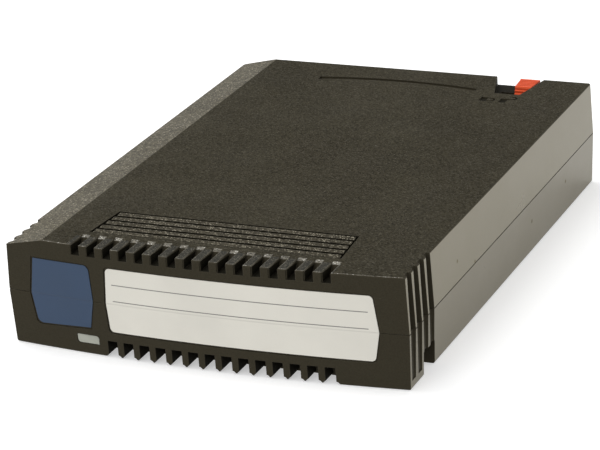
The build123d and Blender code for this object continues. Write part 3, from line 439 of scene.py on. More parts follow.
def make_turned_rings():
    """fine rings about an upright axis, as a lathe or a winding leaves them"""
    tree, given, out = shader_group(
        "turned_rings", {"Center": (0.0, 0.0, 0.0), "Pitch": 0.2 * MM}, ("Height",)
    )
    from_axis = vector_node(tree, "SUBTRACT", object_point(tree), given["Center"])["Vector"]
    x, y = split(tree, from_axis)[:2]
    squares = math_node(tree, "ADD", times(tree, x, x), times(tree, y, y))
    radius = math_node(tree, "SQRT", squares)
    turns = math_node(tree, "DIVIDE", radius, given["Pitch"])
    wave = math_node(tree, "SINE", times(tree, turns, 2 * math.pi))
    tree.links.new(stretch(tree, wave, -1.0, 1.0), out["Height"])
    return tree


def make_brushed_lines():
    """fine streaks along the length of a sheet"""
    tree, given, out = shader_group("brushed_lines", {"Width": 0.2 * MM}, ("Height",))
    squeeze = tree.nodes.new("ShaderNodeMapping")
    tree.links.new(object_point(tree), squeeze.inputs["Vector"])
    squeeze.inputs["Scale"].default_value = (1.0, 0.02, 1.0)
    scale = math_node(tree, "DIVIDE", 1.0, given["Width"])
    tree.links.new(noise(tree, scale, 3.0, 0.6, squeeze.outputs["Vector"]), out["Height"])
    return tree


moulded_grain = make_moulded_grain()
soft_edges = make_soft_edges()
handling = make_handling()
dull_spot = make_dull_spot()
turned_rings = make_turned_rings()
brushed_lines = make_brushed_lines()


# Finishes


def moulded_plastic(
    name, color, wear_and_glint_color, roughness, specular, grain_size, grain_depth,
    contrast=0.2, painted_glint=0.1, wear_and_highlight=0.4, tint=WARM, ior=1.5, edge=0.15 * MM
):
    """moulded plastic with its grain, painted glints, polished edges that also carry a painted highlight,
    smears and dust
    """
    material, tree = new_material(name)
    grain = place_group(tree, moulded_grain, {"Size": grain_size})
    edges = place_group(tree, soft_edges, {"Radius": edge})
    hands = place_group(tree, handling)
    cloud = stretch(tree, grain["Cloud"], 0.3, 0.7, -0.10, 0.10)
    uneven = math_node(tree, "ADD", cloud, stretch(tree, grain["Height"], 0.35, 0.75))
    body = blend_colors(tree, uneven, tinted(color, 1 - contrast), tinted(color, 1 + contrast))
    # painted glints and edges: bright specks and edges are blended into the colour and stand in for light
    # caught by the grain and the rounded edges; the edge mark is partly real wear
    for mask, share, other in (
        (grain["Painted glint"], painted_glint, wear_and_glint_color), (edges["Wear and highlight"], wear_and_highlight, wear_and_glint_color), (hands["Dust"], 0.35, DUST)
    ):
        body = blend_colors(tree, times(tree, mask, share), body, other)
    smeared = stretch(tree, hands["Smear"], 0.0, 1.0, roughness * 1.06, roughness * 0.90)
    polished = times(tree, edges["Wear and highlight"], 0.15)
    wire_shader(
        tree, body, math_node(tree, "SUBTRACT", smeared, polished, clamp=True),
        bump(tree, grain["Height"], grain_depth, edges["Normal"]),
        {"Specular IOR Level": specular, "Specular Tint": tint, "IOR": ior}
    )
    return material


def side_wall_painted_light(name, color):
    """smooth side wall with a few dull spots; the colour it is given carries painted reflection above the
    parting and painted shade below
    """
    material = moulded_plastic(
        name, color, WEAR_AND_GLINT_PLASTIC, roughness=0.30, specular=1.0, grain_size=0.25 * MM,
        grain_depth=0.0015 * MM, contrast=0.1, tint=AMBER, ior=1.58
    )
    tree = material.node_tree
    marks = 0.0
    for y, z, radius in SPOTS:
        center = (HALF_WIDTH, y * MM, z * MM)
        mask = place_group(tree, dull_spot, {"Center": center, "Radius": radius * MM})["Mask"]
        marks = math_node(tree, "MAXIMUM", marks, mask)
    rough = tree.nodes["Principled BSDF"].inputs["Roughness"]
    smooth = rough.links[0].from_socket
    tree.links.new(math_node(tree, "ADD", smooth, times(tree, marks, 0.45), clamp=True), rough)
    return material


def slider_plastic():
    """orange plastic, with painted shade in the grooves across the top of the knob"""
    material = moulded_plastic(
        "orange_slider_plastic", ORANGE, WEAR_AND_GLINT_ORANGE, roughness=0.45, specular=0.08,
        grain_size=0.2 * MM, grain_depth=0.004 * MM, contrast=0.1, tint=WHITE
    )
    tree = material.node_tree
    y, z = split(tree, object_point(tree))[1:]
    # painted shade: a darker orange in the grooves of the knob stands in for the shade that falls in them
    run = math_node(tree, "SUBTRACT", y, KNOB_TOP_FRONT)
    wave = math_node(tree, "COSINE", times(tree, run, 2 * math.pi / KNOB_GROOVE_PITCH))
    painted_groove_shade = stretch(tree, wave, -0.5, 0.0)
    for mask in (
        stretch(tree, z, TOP - 0.03 * MM, TOP - 0.09 * MM),
        math_node(tree, "GREATER_THAN", z, TOP - KNOB_GROOVE_DEPTH),
        math_node(tree, "GREATER_THAN", run, KNOB_GROOVE_PITCH / 2),
    ):
        painted_groove_shade = times(tree, painted_groove_shade, mask)
    base = tree.nodes["Principled BSDF"].inputs["Base Color"]
    tree.links.new(blend_colors(tree, painted_groove_shade, base.links[0].from_socket, PAINTED_SHADE_ORANGE), base)
    return material


def label_film(name, color, roughness, ruled):
    """printed film label, creased where the two halves of the housing meet, with painted shade along the
    crease
    """
    material, tree = new_material(name)
    x, _, z = split(tree, object_point(tree))
    fibre = noise(tree, 2600.0, 4.0, 0.6)
    cloud = noise(tree, 90.0, 3.0, 0.5)
    body = blend_colors(tree, stretch(tree, cloud, 0.3, 0.7), tinted(color, 0.93), color)
    specks = stretch(tree, fibre, 0.62, 0.75, 0.0, 0.25)
    body = blend_colors(tree, specks, body, tinted(color, 0.8))
    if ruled:
        across = within(tree, x, (RULE_LEFT + RULE_RIGHT) / 2, (RULE_RIGHT - RULE_LEFT) / 2)
        rules = 0.0
        for height in RULES:
            rules = math_node(tree, "MAXIMUM", rules, within(tree, z, height, RULE_WIDTH / 2))
        body = blend_colors(tree, times(tree, rules, across), body, INK)
    from_seam = math_node(tree, "ABSOLUTE", math_node(tree, "SUBTRACT", z, PARTING))
    crease = stretch(tree, from_seam, 0.22 * MM, 0.0)
    # painted shade: the colour darkens along the crease
    body = blend_colors(tree, times(tree, crease, 0.22), body, tinted(color, 0.45))
    relief = math_node(tree, "SUBTRACT", times(tree, fibre, 0.06), crease)
    wire_shader(
        tree, body, stretch(tree, cloud, 0.3, 0.7, roughness - 0.06, roughness + 0.06),
        bump(tree, relief, 0.05 * MM), {"Specular IOR Level": 0.3}
    )
    return material


def frosted_clear():
    """clear moulding with a frosted skin"""
    material, tree = new_material("frosted_clear")
    frost = noise(tree, 3200.0, 3.0, 0.6)
    cloud = noise(tree, 300.0, 2.0, 0.5)
    edges = place_group(tree, soft_edges, {"Radius": 0.2 * MM})
    body = blend_colors(tree, stretch(tree, cloud, 0.35, 0.65), tinted(FROSTED, 0.88), FROSTED)
    body = blend_colors(tree, times(tree, edges["Wear and highlight"], 0.5), body, WORN_FROST)
    wire_shader(
        tree, body, stretch(tree, frost, 0.2, 0.8, 0.28, 0.42),
        bump(tree, frost, 0.003 * MM, edges["Normal"]), {"Transmission Weight": 0.15}
    )
    return material


def bare_metal(name, color, roughness, group=None, values=None, depth=0.002 * MM, tarnish=0.2):
    """metal with streaks, rings or a cast skin"""
    material, tree = new_material(name)
    edges = place_group(tree, soft_edges, {"Radius": 0.1 * MM})
    cloud = noise(tree, 120.0, 4.0, 0.6)
    relief = place_group(tree, group, values)["Height"] if group else noise(tree, 1400.0, 4.0, 0.65)
    body = blend_colors(tree, stretch(tree, cloud, 0.3, 0.7), tinted(color, 1 - tarnish), color)
    body = blend_colors(tree, times(tree, edges["Wear and highlight"], 0.6), body, tinted(color, 1.35))
    wire_shader(
        tree, body, stretch(tree, relief, 0.0, 1.0, roughness * 0.8, roughness * 1.2),
        bump(tree, relief, depth, edges["Normal"]), {"Metallic": 1.0}
    )
    return material


def rubbery(name, color, roughness, pore_size, depth):
    """rubber or foam with fine pores"""
    material, tree = new_material(name)
    pores = cells(tree, 1.0 / pore_size)[0]
    cloud = noise(tree, 110.0, 4.0, 0.6)
    wire_shader(
        tree, blend_colors(tree, stretch(tree, cloud, 0.45, 0.8), color, tinted(color, 2.2)),
        stretch(tree, pores, 0.0, 1.0, roughness, roughness - 0.12),
        bump(tree, pores, depth), {"Specular IOR Level": 0.3}
    )
    return material


def circuit_laminate():
    """green solder mask over copper tracks"""
    material, tree = new_material("circuit_laminate")
    bricks = tree.nodes.new("ShaderNodeTexVoronoi")
    bricks.distance = "MANHATTAN"
    bricks.feature = "DISTANCE_TO_EDGE"
    tree.links.new(object_point(tree), bricks.inputs["Vector"])
    bricks.inputs["Scale"].default_value = 420.0
    track = stretch(tree, bricks.outputs["Distance"], 0.10, 0.06)
    weave = noise(tree, 1500.0, 2.0, 0.5)
    body = blend_colors(tree, track, LAMINATE, TRACE)
    threads = stretch(tree, weave, 0.4, 0.7, 0.0, 0.3)
    wire_shader(
        tree, blend_colors(tree, threads, body, tinted(LAMINATE, 0.7)),
        stretch(tree, weave, 0.0, 1.0, 0.25, 0.38),
        bump(tree, track, 0.03 * MM), {"Coat Weight": 0.3}
    )
    return material


def pale_plastic(name, color, roughness):
    """plain small moulding"""
    wear_and_glint_color = tuple(min(1.0, part * 1.4 + 0.03) for part in color)
    return moulded_plastic(
        name, color, wear_and_glint_color, roughness, specular=0.5, grain_size=0.15 * MM, grain_depth=0.002 * MM,
        contrast=0.1, wear_and_highlight=0.3, tint=WHITE
    )


# Mesh helpers


def place_of(node):
    """middle of a CAD node"""
    low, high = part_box(node)
    return tuple((a + b) / 2 for a, b in zip(low, high))


def add_object(name, data):
    """object of a mesh, a camera or a lamp, in the scene"""
    obj = bpy.data.objects.new(name, data)
    bpy.context.scene.collection.objects.link(obj)
    return obj


def box_part(body, center, size, bevel=0.0):
    """box, with its edges broken, added to a bmesh"""
    matrix = Matrix.Translation(center) @ Matrix.Diagonal((*size, 1))
    made = bmesh.ops.create_cube(body, size=1, matrix=matrix)
    if bevel:
        edges = {edge for vert in made["verts"] for edge in vert.link_edges}
        bmesh.ops.bevel(body, geom=list(edges), offset=bevel, segments=2, affect="EDGES", profile=0.5)


def mesh_object(name, body):
    """object of a bmesh, its faces turned outwards"""
    bmesh.ops.recalc_face_normals(body, faces=body.faces)
    mesh = bpy.data.meshes.new(name)
    body.to_mesh(mesh)
    body.free()
    return add_object(name, mesh)


def outline_prism(body, points, low, high):
    """plan outline raised between two heights, added to a bmesh"""
    lower = [body.verts.new((x, y, low)) for x, y in points]
    upper = [body.verts.new((x, y, high)) for x, y in points]
    body.faces.new(lower[::-1])
    body.faces.new(upper)
    for i in range(len(points)):
        j = (i + 1) % len(points)
        body.faces.new((lower[i], lower[j], upper[j], upper[i]))


def bow_outline(x, middle, free_end):
    """bow of a padlock as a U that opens to the left, its upper leg cut short by a given amount"""
    bend = x + BOW_LEG
    angles = [math.pi * (i / BOW_STEPS - 0.5) for i in range(BOW_STEPS + 1)]
    outer = [(bend + BOW_OUT * math.cos(a), middle + BOW_OUT * math.sin(a)) for a in angles]
    inner = [(bend + BOW_IN * math.cos(a), middle + BOW_IN * math.sin(a)) for a in reversed(angles)]
    upper_leg = [(x + free_end, middle + BOW_OUT), (x + free_end, middle + BOW_IN)]
    return [(x, middle - BOW_OUT)] + outer + upper_leg + inner + [(x, middle - BOW_IN)]


# Shells


def lock_cutters():
    """tools that cut the bodies and then the bows of both lock marks into the top"""
    bodies = bmesh.new()
    bows = bmesh.new()
    size = (LOCK_BODY, 2 * LOCK_HALF, 2 * LOCK_DEPTH)
    for x, is_open in ((LOCKED_X, False), (UNLOCKED_X, True)):
        box_part(bodies, (x + LOCK_BODY / 2, LOCK_Y, TOP), size)
        middle = LOCK_Y + (BOW_OUT + BOW_IN if is_open else 0.0)
        free_end = BOW_LAP + BOW_CUT if is_open else 0.0
        outline = bow_outline(x + LOCK_BODY - BOW_LAP, middle, free_end)
        outline_prism(bows, outline, TOP - LOCK_DEPTH, TOP + LOCK_DEPTH)
    return [mesh_object("lock_bodies", bodies), mesh_object("lock_bows", bows)]


def apply_modifiers(obj):
    """makes what an object's modifiers give its plain mesh"""
    graph = bpy.context.evaluated_depsgraph_get()
    obj.data = bpy.data.meshes.new_from_object(obj.evaluated_get(graph))
    obj.modifiers.clear()


def cut_out(obj, cutters):
    """takes the cutters out of an object, one after another, and removes them"""
    for cutter in cutters:
        cut = obj.modifiers.new(cutter.name, "BOOLEAN")
        cut.operation = "DIFFERENCE"
        cut.solver = "EXACT"
        cut.object = cutter
    apply_modifiers(obj)
    for cutter in cutters:
        bpy.data.objects.remove(cutter)


def steady_normals(obj):
    """smooth shading over rounded edges that leaves the wide faces flat"""
    mesh = obj.data
    if "custom_normal" in mesh.attributes:
        mesh.attributes.remove(mesh.attributes["custom_normal"])
    mesh.shade_smooth()
    mesh.set_sharp_from_angle(angle=math.radians(SHARP_EDGE))
    weighted = obj.modifiers.new("weighted", "WEIGHTED_NORMAL")
    weighted.mode = "FACE_AREA"
    weighted.weight = NORMAL_WEIGHT
    weighted.keep_sharp = True
    apply_modifiers(obj)


def merged_copy(node, name, cutters):
    """copy of a CAD node's mesh with its loose triangles joined and cut along the rims of its finishes"""
    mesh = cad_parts[node].data.copy()
    body = bmesh.new()
    body.from_mesh(mesh)
    bmesh.ops.remove_doubles(body, verts=body.verts, dist=WELD)
    body.to_mesh(mesh)
    body.free()
    mesh.materials.clear()
    obj = add_object(name, mesh)
    if cutters:
        cut_out(obj, cutters)
    body = bmesh.new()
    body.from_mesh(obj.data)
    for point, normal in (
        ((0, BAR_REAR, 0), (0, 1, 0)), ((BAR_HALF, 0, 0), (1, 0, 0)), ((-BAR_HALF, 0, 0), (1, 0, 0))
    ):
        everything = body.verts[:] + body.edges[:] + body.faces[:]
        bmesh.ops.bisect_plane(
            body, geom=everything, plane_co=point, plane_no=normal, dist=CUT_TOLERANCE
        )
    body.to_mesh(obj.data)
    body.free()
    steady_normals(obj)
    obj.data.name = name
    return obj


def finish_of(center, normal):
    """name of the finish that a face of the housing has"""
    x, y, z = center
    top_depth = TOP - z
    faces_up = normal.z > STRAIGHT
    if abs(x) > HALF_WIDTH - GROOVE_FLOOR and abs(normal.x) > STRAIGHT:
        return "side" if z > PARTING else "lower_side"
    at_slots = y < SLOT_END and abs(x) < SLOTS_HALF and z > SHALLOW and top_depth > SHALLOW
    # walls and floors inside the front slots get painted shade
    if at_slots and normal.y > -SLANTED:
        return "painted_shade"
    at_grips = abs(x) > HALF_WIDTH - GRIP_DEPTH and y < GRIPS_END
    if at_grips and abs(normal.z) < SLANTED and normal.y > -FLAT_FRONT:
        return "satin"
    in_slats = SLAT_FRONT < y < SLAT_REAR and abs(x) < SLATS_HALF and top_depth < SLAT_DEPTH
    in_notch = y > NOTCH_FRONT and NOTCH_LEFT < x < NOTCH_RIGHT and SHALLOW < top_depth < NOTCH_DEPTH
    # the notch ledge and the grooves between the slats get painted shade
    if in_notch or in_slats and (normal.z < STRAIGHT or top_depth > SHALLOW):
        return "painted_shade"
    if top_depth < SHALLOW and faces_up:
        # the cut lock marks get painted shade
        if LOCKS_FRONT < y < NOTCH_FRONT and x > LOCKS_LEFT and top_depth > LOCK_DEPTH / 2:
            return "painted_shade"
        # faces that lean forward get the slat and slot-end finishes, whose glints and lighter colour are
        # painted light
        if normal.y < -LEANS_FORWARD:
            return "slats" if y > SLAT_FRONT else "slot_ends"
        if y < BAR_REAR and abs(x) < BAR_HALF:
            return "bars"
        # faces turned left, here and below, get the bevel finish, lighter as painted light
        return "bevel" if normal.x < -LEANS_LEFT else "grained"
    if normal.x < -LEANS_LEFT and faces_up:
        return "bevel"
    if z < SHALLOW and normal.z < -STRAIGHT:
        return "grained"
    return "satin"


def dress_shell(node, cutters=()):
    """stands the finished shell in the place of its CAD node"""
    obj = merged_copy(node, node + "_finished", cutters)
    mesh = obj.data
    mesh.materials.clear()
    names = list(shell_finishes)
    for name in names:
        mesh.materials.append(shell_finishes[name])
    for face in mesh.polygons:
        face.material_index = names.index(finish_of(face.center, face.normal))
    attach(obj, "housing")
    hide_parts(node)


shell_finishes = {
    "grained": moulded_plastic(
        "grained_top_plastic", PLASTIC, WEAR_AND_GLINT_PLASTIC, roughness=0.75, specular=0.03,
        grain_size=0.30 * MM, grain_depth=0.030 * MM, contrast=0.7, painted_glint=0.5
    ),
    # bevel: a lighter copy of the grained plastic, painted light on faces turned left
    "bevel": moulded_plastic(
        "grained_bevel_painted_light", PAINTED_LIT_BEVEL, GLINT_AND_EDGE_HIGHLIGHT, roughness=0.55, specular=0.10,
        grain_size=0.36 * MM, grain_depth=0.055 * MM, contrast=0.9, painted_glint=0.9
    ),
    # slats: dense painted glints stand in for the light the forward-leaning slats catch; the coarse grain
    # is real
    "slats": moulded_plastic(
        "coarse_slat_plastic", SLAT_PLASTIC, GLINT_AND_EDGE_HIGHLIGHT, roughness=0.60, specular=0.05,
        grain_size=0.26 * MM, grain_depth=0.050 * MM, contrast=0.8, painted_glint=1.0
    ),
    # slot ends: lighter colour with pale specks, painted light on the forward-leaning rear ends of the
    # front slots
    "slot_ends": moulded_plastic(
        "slot_end_painted_light", SLOT_END_PAINTED_LIGHT, PAPER, roughness=0.50, specular=0.10,
        grain_size=0.30 * MM, grain_depth=0.040 * MM, contrast=0.9, painted_glint=0.7
    ),
    # bars: edges blended fully to the bright colour, a painted highlight along the edges of the bars
    "bars": moulded_plastic(
        "satin_bar_plastic", BAR_PLASTIC, GLINT_AND_EDGE_HIGHLIGHT, roughness=0.50, specular=0.03,
        grain_size=0.20 * MM, grain_depth=0.010 * MM, contrast=0.5, painted_glint=0.5, wear_and_highlight=1.0,
        edge=0.25 * MM
    ),
    "satin": moulded_plastic(
        "satin_plastic", SATIN_PLASTIC, WEAR_AND_GLINT_PLASTIC, roughness=0.45, specular=0.05,
        grain_size=0.20 * MM, grain_depth=0.004 * MM, contrast=0.15
    ),
    # painted shade: near-black plastic for recesses where shade falls
    "painted_shade": moulded_plastic(
        "painted_shade_finish", PAINTED_SHADE_PLASTIC, WEAR_AND_GLINT_PLASTIC, roughness=0.60, specular=0.02,
        grain_size=0.20 * MM, grain_depth=0.004 * MM
    ),
    # side walls: lit and shaded copies of one plastic, painted reflection above the parting and painted
    # shade below
    "side": side_wall_painted_light("side_wall_painted_light", SIDE_PAINTED_REFLECTION),
    "lower_side": side_wall_painted_light("lower_side_wall_painted_shade", LOWER_SIDE_PAINTED_SHADE),
}
dress_shell("top_shell", lock_cutters())
dress_shell("bottom_shell")


# Finishes of the pieces that keep their CAD shape


def dress_node(node, material):
    """gives a CAD node its finish"""
    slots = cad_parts[node].data.materials
    slots.clear()
    slots.append(material)


spindle = place_of("upper_platter")
pivot = place_of("pivot_post")

mount_rubber = rubbery("mount_rubber", RUBBER, 0.75, 0.3 * MM, 0.01 * MM)
board_green = circuit_laminate()
connector_black = pale_plastic("connector_black", CONNECTOR_BLACK, 0.6)
contact_gold = bare_metal("contact_gold", GOLD, 0.22)
screw_steel = bare_metal("screw_steel", STEEL, 0.28)
nickel_plate = bare_metal("nickel_plate", NICKEL, 0.20)
disk_coating = bare_metal(
    "disk_coating", DISK, 0.06, turned_rings, {"Center": spindle, "Pitch": 0.25 * MM},
    depth=0.0002 * MM, tarnish=0.02
)
turned_alloy = bare_metal(
    "turned_alloy", ALLOY, 0.30, turned_rings, {"Center": spindle, "Pitch": 0.18 * MM}
)
turned_post_steel = bare_metal(
    "turned_post_steel", STEEL, 0.25, turned_rings, {"Center": pivot, "Pitch": 0.15 * MM}
)
winding_copper = bare_metal(
    "winding_copper", COPPER, 0.30, turned_rings, {"Center": pivot, "Pitch": 0.16 * MM},
    depth=0.03 * MM
)

NODE_FINISHES = {
    "capacity_label": label_film("blue_label_film", BLUE, 0.40, False),
    "write_on_label": label_film("write_on_label_film", PAPER, 0.55, True),
    "light_pipe": frosted_clear(),
    "write_protect_slider": slider_plastic(),
    "drive_base": bare_metal("cast_alloy", ALLOY, 0.45, depth=0.01 * MM),
    "cover_gasket": rubbery("gasket_foam", FOAM, 0.9, 0.2 * MM, 0.02 * MM),
    "drive_cover": bare_metal("pressed_steel", STEEL, 0.32, brushed_lines, {"Width": 0.2 * MM}),
    "cover_screws": screw_steel,
    "board_screws": screw_steel,
    "spindle_motor": bare_metal("motor_steel", DARK_STEEL, 0.35),
    "spindle_hub": turned_alloy,
    "lower_platter": disk_coating,
    "platter_spacer": turned_alloy,
    "upper_platter": disk_coating,
    "disc_clamp": turned_alloy,
    "clamp_screw": screw_steel,
    "pivot_post": turned_post_steel,
    "actuator_arm": bare_metal("machined_arm_alloy", ALLOY, 0.35, brushed_lines, {"Width": 0.15 * MM}),
    "voice_coil": winding_copper,
    "head_sliders": pale_plastic("sintered_ceramic", CERAMIC, 0.25),
    "load_ramp": pale_plastic("natural_ramp_plastic", NATURAL, 0.45),
    "lower_magnet_plate": nickel_plate,
    "upper_magnet_plate": nickel_plate,
    "drive_board": board_green,
    "drive_board_chips": pale_plastic("chip_moulding", EPOXY, 0.5),
    "drive_connector": connector_black,
    "drive_connector_contacts": contact_gold,
    "drive_socket": connector_black,
    "interface_board": board_green,
    "rear_connector": connector_black,
    "rear_connector_contacts": contact_gold,
}
for node, material in NODE_FINISHES.items():
    dress_node(node, material)
for end in ("front", "rear"):
    for side in ("left", "right"):
        dress_node(f"corner_mount_{end}_{side}", mount_rubber)


# Repeated small pieces, made by Geometry Nodes


def geometry_tree(name, inputs):
    """empty Geometry Nodes tree with named inputs"""
    tree = bpy.data.node_groups.new(name, "GeometryNodeTree")
    tree.is_modifier = True
    tree.interface.new_socket("Geometry", in_out="INPUT", socket_type="NodeSocketGeometry")
    for key, kind in {"Shape": "Object", **inputs, "Material": "Material"}.items():
        tree.interface.new_socket(key, in_out="INPUT", socket_type="NodeSocket" + kind)
    tree.interface.new_socket("Geometry", in_out="OUTPUT", socket_type="NodeSocketGeometry")
    return tree, tree.nodes.new("NodeGroupInput").outputs, tree.nodes.new("NodeGroupOutput").inputs


def points_of(tree, mesh):
    """node that makes a point of every vertex of a mesh"""
    points = tree.nodes.new("GeometryNodeMeshToPoints")
    tree.links.new(mesh, points.inputs["Mesh"])
    return points


def finish_tree(tree, given, out, points):
    """sets the shape on each point and ends the tree as real mesh with its material"""
    info = tree.nodes.new("GeometryNodeObjectInfo")
    tree.links.new(given["Shape"], info.inputs["Object"])
    copies = tree.nodes.new("GeometryNodeInstanceOnPoints")
    tree.links.new(points.outputs["Points"], copies.inputs["Points"])
    tree.links.new(info.outputs["Geometry"], copies.inputs["Instance"])
    real = tree.nodes.new("GeometryNodeRealizeInstances")
    tree.links.new(copies.outputs["Instances"], real.inputs["Geometry"])
    paint = tree.nodes.new("GeometryNodeSetMaterial")
    tree.links.new(real.outputs["Geometry"], paint.inputs["Geometry"])
    tree.links.new(given["Material"], paint.inputs["Material"])
    tree.links.new(paint.outputs["Geometry"], out["Geometry"])
    return copies, real


def copies_tree():
    """one shape on every vertex of a guide mesh, turned by a named amount"""
    tree, given, out = geometry_tree("copies_on_guide", {"Turn": "Float"})
    copies = finish_tree(tree, given, out, points_of(tree, given["Geometry"]))[0]
    turn = tree.nodes.new("ShaderNodeCombineXYZ")
    tree.links.new(given["Turn"], turn.inputs["Z"])
    tree.links.new(turn.outputs[0], copies.inputs["Rotation"])
    return tree


def ring_tree():
    """one shape repeated about a centre, each copy facing outwards"""
    inputs = {"Count": "Int", "Radius": "Float", "Center": "Vector"}
    tree, given, out = geometry_tree("copies_round_center", inputs)
    circle = tree.nodes.new("GeometryNodeMeshCircle")
    tree.links.new(given["Count"], circle.inputs["Vertices"])
    tree.links.new(given["Radius"], circle.inputs["Radius"])
    copies, real = finish_tree(tree, given, out, points_of(tree, circle.outputs["Mesh"]))
    place = tree.nodes.new("GeometryNodeInputPosition")
    face_out = tree.nodes.new("FunctionNodeAlignRotationToVector")
    face_out.axis = "X"
    tree.links.new(place.outputs["Position"], face_out.inputs["Vector"])
    tree.links.new(face_out.outputs["Rotation"], copies.inputs["Rotation"])
    move = tree.nodes.new("GeometryNodeTransform")
    tree.links.new(copies.outputs["Instances"], move.inputs["Geometry"])
    tree.links.new(given["Center"], move.inputs["Translation"])
    tree.links.new(move.outputs["Geometry"], real.inputs["Geometry"])
    return tree


def scatter_tree():
    """one shape on a random share of the vertices of a guide mesh"""
    tree, given, out = geometry_tree("copies_scattered", {"Share": "Float", "Seed": "Int"})
    chance = tree.nodes.new("FunctionNodeRandomValue")
    chance.data_type = "BOOLEAN"
    tree.links.new(given["Share"], chance.inputs["Probability"])
    tree.links.new(given["Seed"], chance.inputs["Seed"])
    points = points_of(tree, given["Geometry"])
    tree.links.new(chance.outputs[3], points.inputs["Selection"])
    finish_tree(tree, given, out, points)
    return tree


def guide(name, points):
    """loose vertices that a tree puts its copies on"""
    mesh = bpy.data.meshes.new(name)
    mesh.from_pydata([tuple(point) for point in points], [], [])
    return add_object(name, mesh)


def grow(name, guide_object, tree, values, material, body="housing"):
    """runs a tree on its guide, keeps the result as a plain mesh and lets it ride on a body"""
    modifier = guide_object.modifiers.new("grow", "NODES")
    modifier.node_group = tree
    identifiers = {
        item.name: item.identifier for item in tree.interface.items_tree
        if item.item_type == "SOCKET" and item.in_out == "INPUT"
    }
    for key, value in {**values, "Material": material}.items():
        modifier[identifiers[key]] = value
    graph = bpy.context.evaluated_depsgraph_get()
    mesh = bpy.data.meshes.new_from_object(guide_object.evaluated_get(graph))
    mesh.name = name
    piece = add_object(name, mesh)
    bpy.data.objects.remove(guide_object)
    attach(piece, body)


def lead_shape():
    """gull-wing lead of a chip: shoulder, drop and foot, as one folded strip that points along x"""
    body = bmesh.new()
    side = LEAD_WIDTH / 2
    corners = [(-side, 0), (side, 0), (side, -LEAD_THICKNESS), (-side, -LEAD_THICKNESS)]
    rows = []
    for x, drop in LEAD_FOLD:
        rows.append([body.verts.new((x * MM, y, z - drop * MM)) for y, z in corners])
    for first, second in zip(rows, rows[1:]):
        for i in range(len(corners)):
            j = (i + 1) % len(corners)
            body.faces.new((first[i], first[j], second[j], second[i]))
    body.faces.new(rows[0][::-1])
    body.faces.new(rows[-1])
    return mesh_object("lead_shape", body)


copies_on_guide = copies_tree()
copies_round_center = ring_tree()
copies_scattered = scatter_tree()


def chip_boxes():
    """lowest and highest corner of each chip, read from the loose solids of the chips node"""
    body = bmesh.new()
    body.from_mesh(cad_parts["drive_board_chips"].data)
    bmesh.ops.remove_doubles(body, verts=body.verts, dist=CHIP_WELD)
    found = []
    left = set(body.verts)
    while left:
        island = set()
        edge = [left.pop()]
        while edge:
            vert = edge.pop()
            island.add(vert)
            for link in vert.link_edges:
                other = link.other_vert(vert)
                if other in left:
                    left.discard(other)
                    edge.append(other)
        low = [min(vert.co[i] for vert in island) for i in range(3)]
        high = [max(vert.co[i] for vert in island) for i in range(3)]
        found.append((low, high))
    body.free()
    return found


def make_chip_leads():
    """two rows of leads at each chip of the drive board"""
    shape = lead_shape()
    tinned = bare_metal("tinned_leads", TIN, 0.3)
    for index, (low, high) in enumerate(sorted(chip_boxes())):
        count = int((high[1] - low[1]) / LEAD_PITCH) - 1
        middle = (low[1] + high[1]) / 2
        rows = [middle + (i - (count - 1) / 2) * LEAD_PITCH for i in range(count)]
        for side, x, turn in (("left", low[0], math.pi), ("right", high[0], 0.0)):
            points = guide("lead_guide", [(x, y, high[2]) for y in rows])
            grow(f"chip_{index + 1}_leads_{side}", points, copies_on_guide,
                 {"Shape": shape, "Turn": turn}, tinned)
    bpy.data.objects.remove(shape)


def make_stator_windings():
    """copper bobbins on the teeth of the spindle motor"""
    body = bmesh.new()
    box_part(body, (0, 0, WINDING_MIDDLE), WINDING_SIZE, WINDING_ROUND)
    shape = mesh_object("winding_shape", body)
    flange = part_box("spindle_motor")[0][2]
    center = (spindle[0], spindle[1], flange + WINDING_FLOOR)
    enamel = bare_metal(
        "winding_enamel", COPPER, 0.32, brushed_lines, {"Width": 0.12 * MM}, depth=0.02 * MM
    )
    values = {"Shape": shape, "Count": WINDING_COUNT, "Radius": WINDING_CIRCLE, "Center": center}
    grow("stator_windings", guide("winding_guide", [center]), copies_round_center,
         values, enamel)
    bpy.data.objects.remove(shape)


def is_clear(x, y, chips, screw_line):
    """whether a small part fits between the chips and beside the columns of screws"""
    for low, high in chips:
        beside = low[0] - CHIP_CLEARANCE < x < high[0] + CHIP_CLEARANCE
        if beside and low[1] - CHIP_CLEARANCE < y < high[1] + CHIP_CLEARANCE:
            return False
    return abs(abs(x) - screw_line) >= SCREW_CLEARANCE


def make_board_parts():
    """small resistors and capacitors on the underside of the drive board, clear of the chips"""
    low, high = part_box("drive_board")
    chips = chip_boxes()
    points = []
    for i in range(PART_COLUMNS):
        for j in range(PART_ROWS):
            x = low[0] + (PART_START[0] + PART_PITCH[0] * i) * MM
            y = low[1] + (PART_START[1] + PART_PITCH[1] * j) * MM
            if is_clear(x, y, chips, high[0] - SCREW_INSET):
                points.append((x, y, low[2]))
    body = bmesh.new()
    box_part(body, (0, 0, -CORE_DROP), CORE_SIZE, PART_ROUND)
    core = mesh_object("passive_core", body)
    body = bmesh.new()
    for side in (-1, 1):
        box_part(body, (side * CAP_OUT, 0, -CAP_DROP), CAP_SIZE, PART_ROUND)
    caps = mesh_object("passive_caps", body)
    for name, shape, material, slot in (
        ("passive_bodies", core, pale_plastic("resistor_glaze", RESISTOR, 0.3), "chip_plastic"),
        ("passive_ends", caps, bare_metal("soldered_ends", TIN, 0.3), "contact_gold")
    ):
        grow(name, guide("passive_guide", points), copies_scattered,
             {"Shape": shape, "Share": PART_SHARE, "Seed": PART_SEED}, material)
        bpy.data.objects.remove(shape)


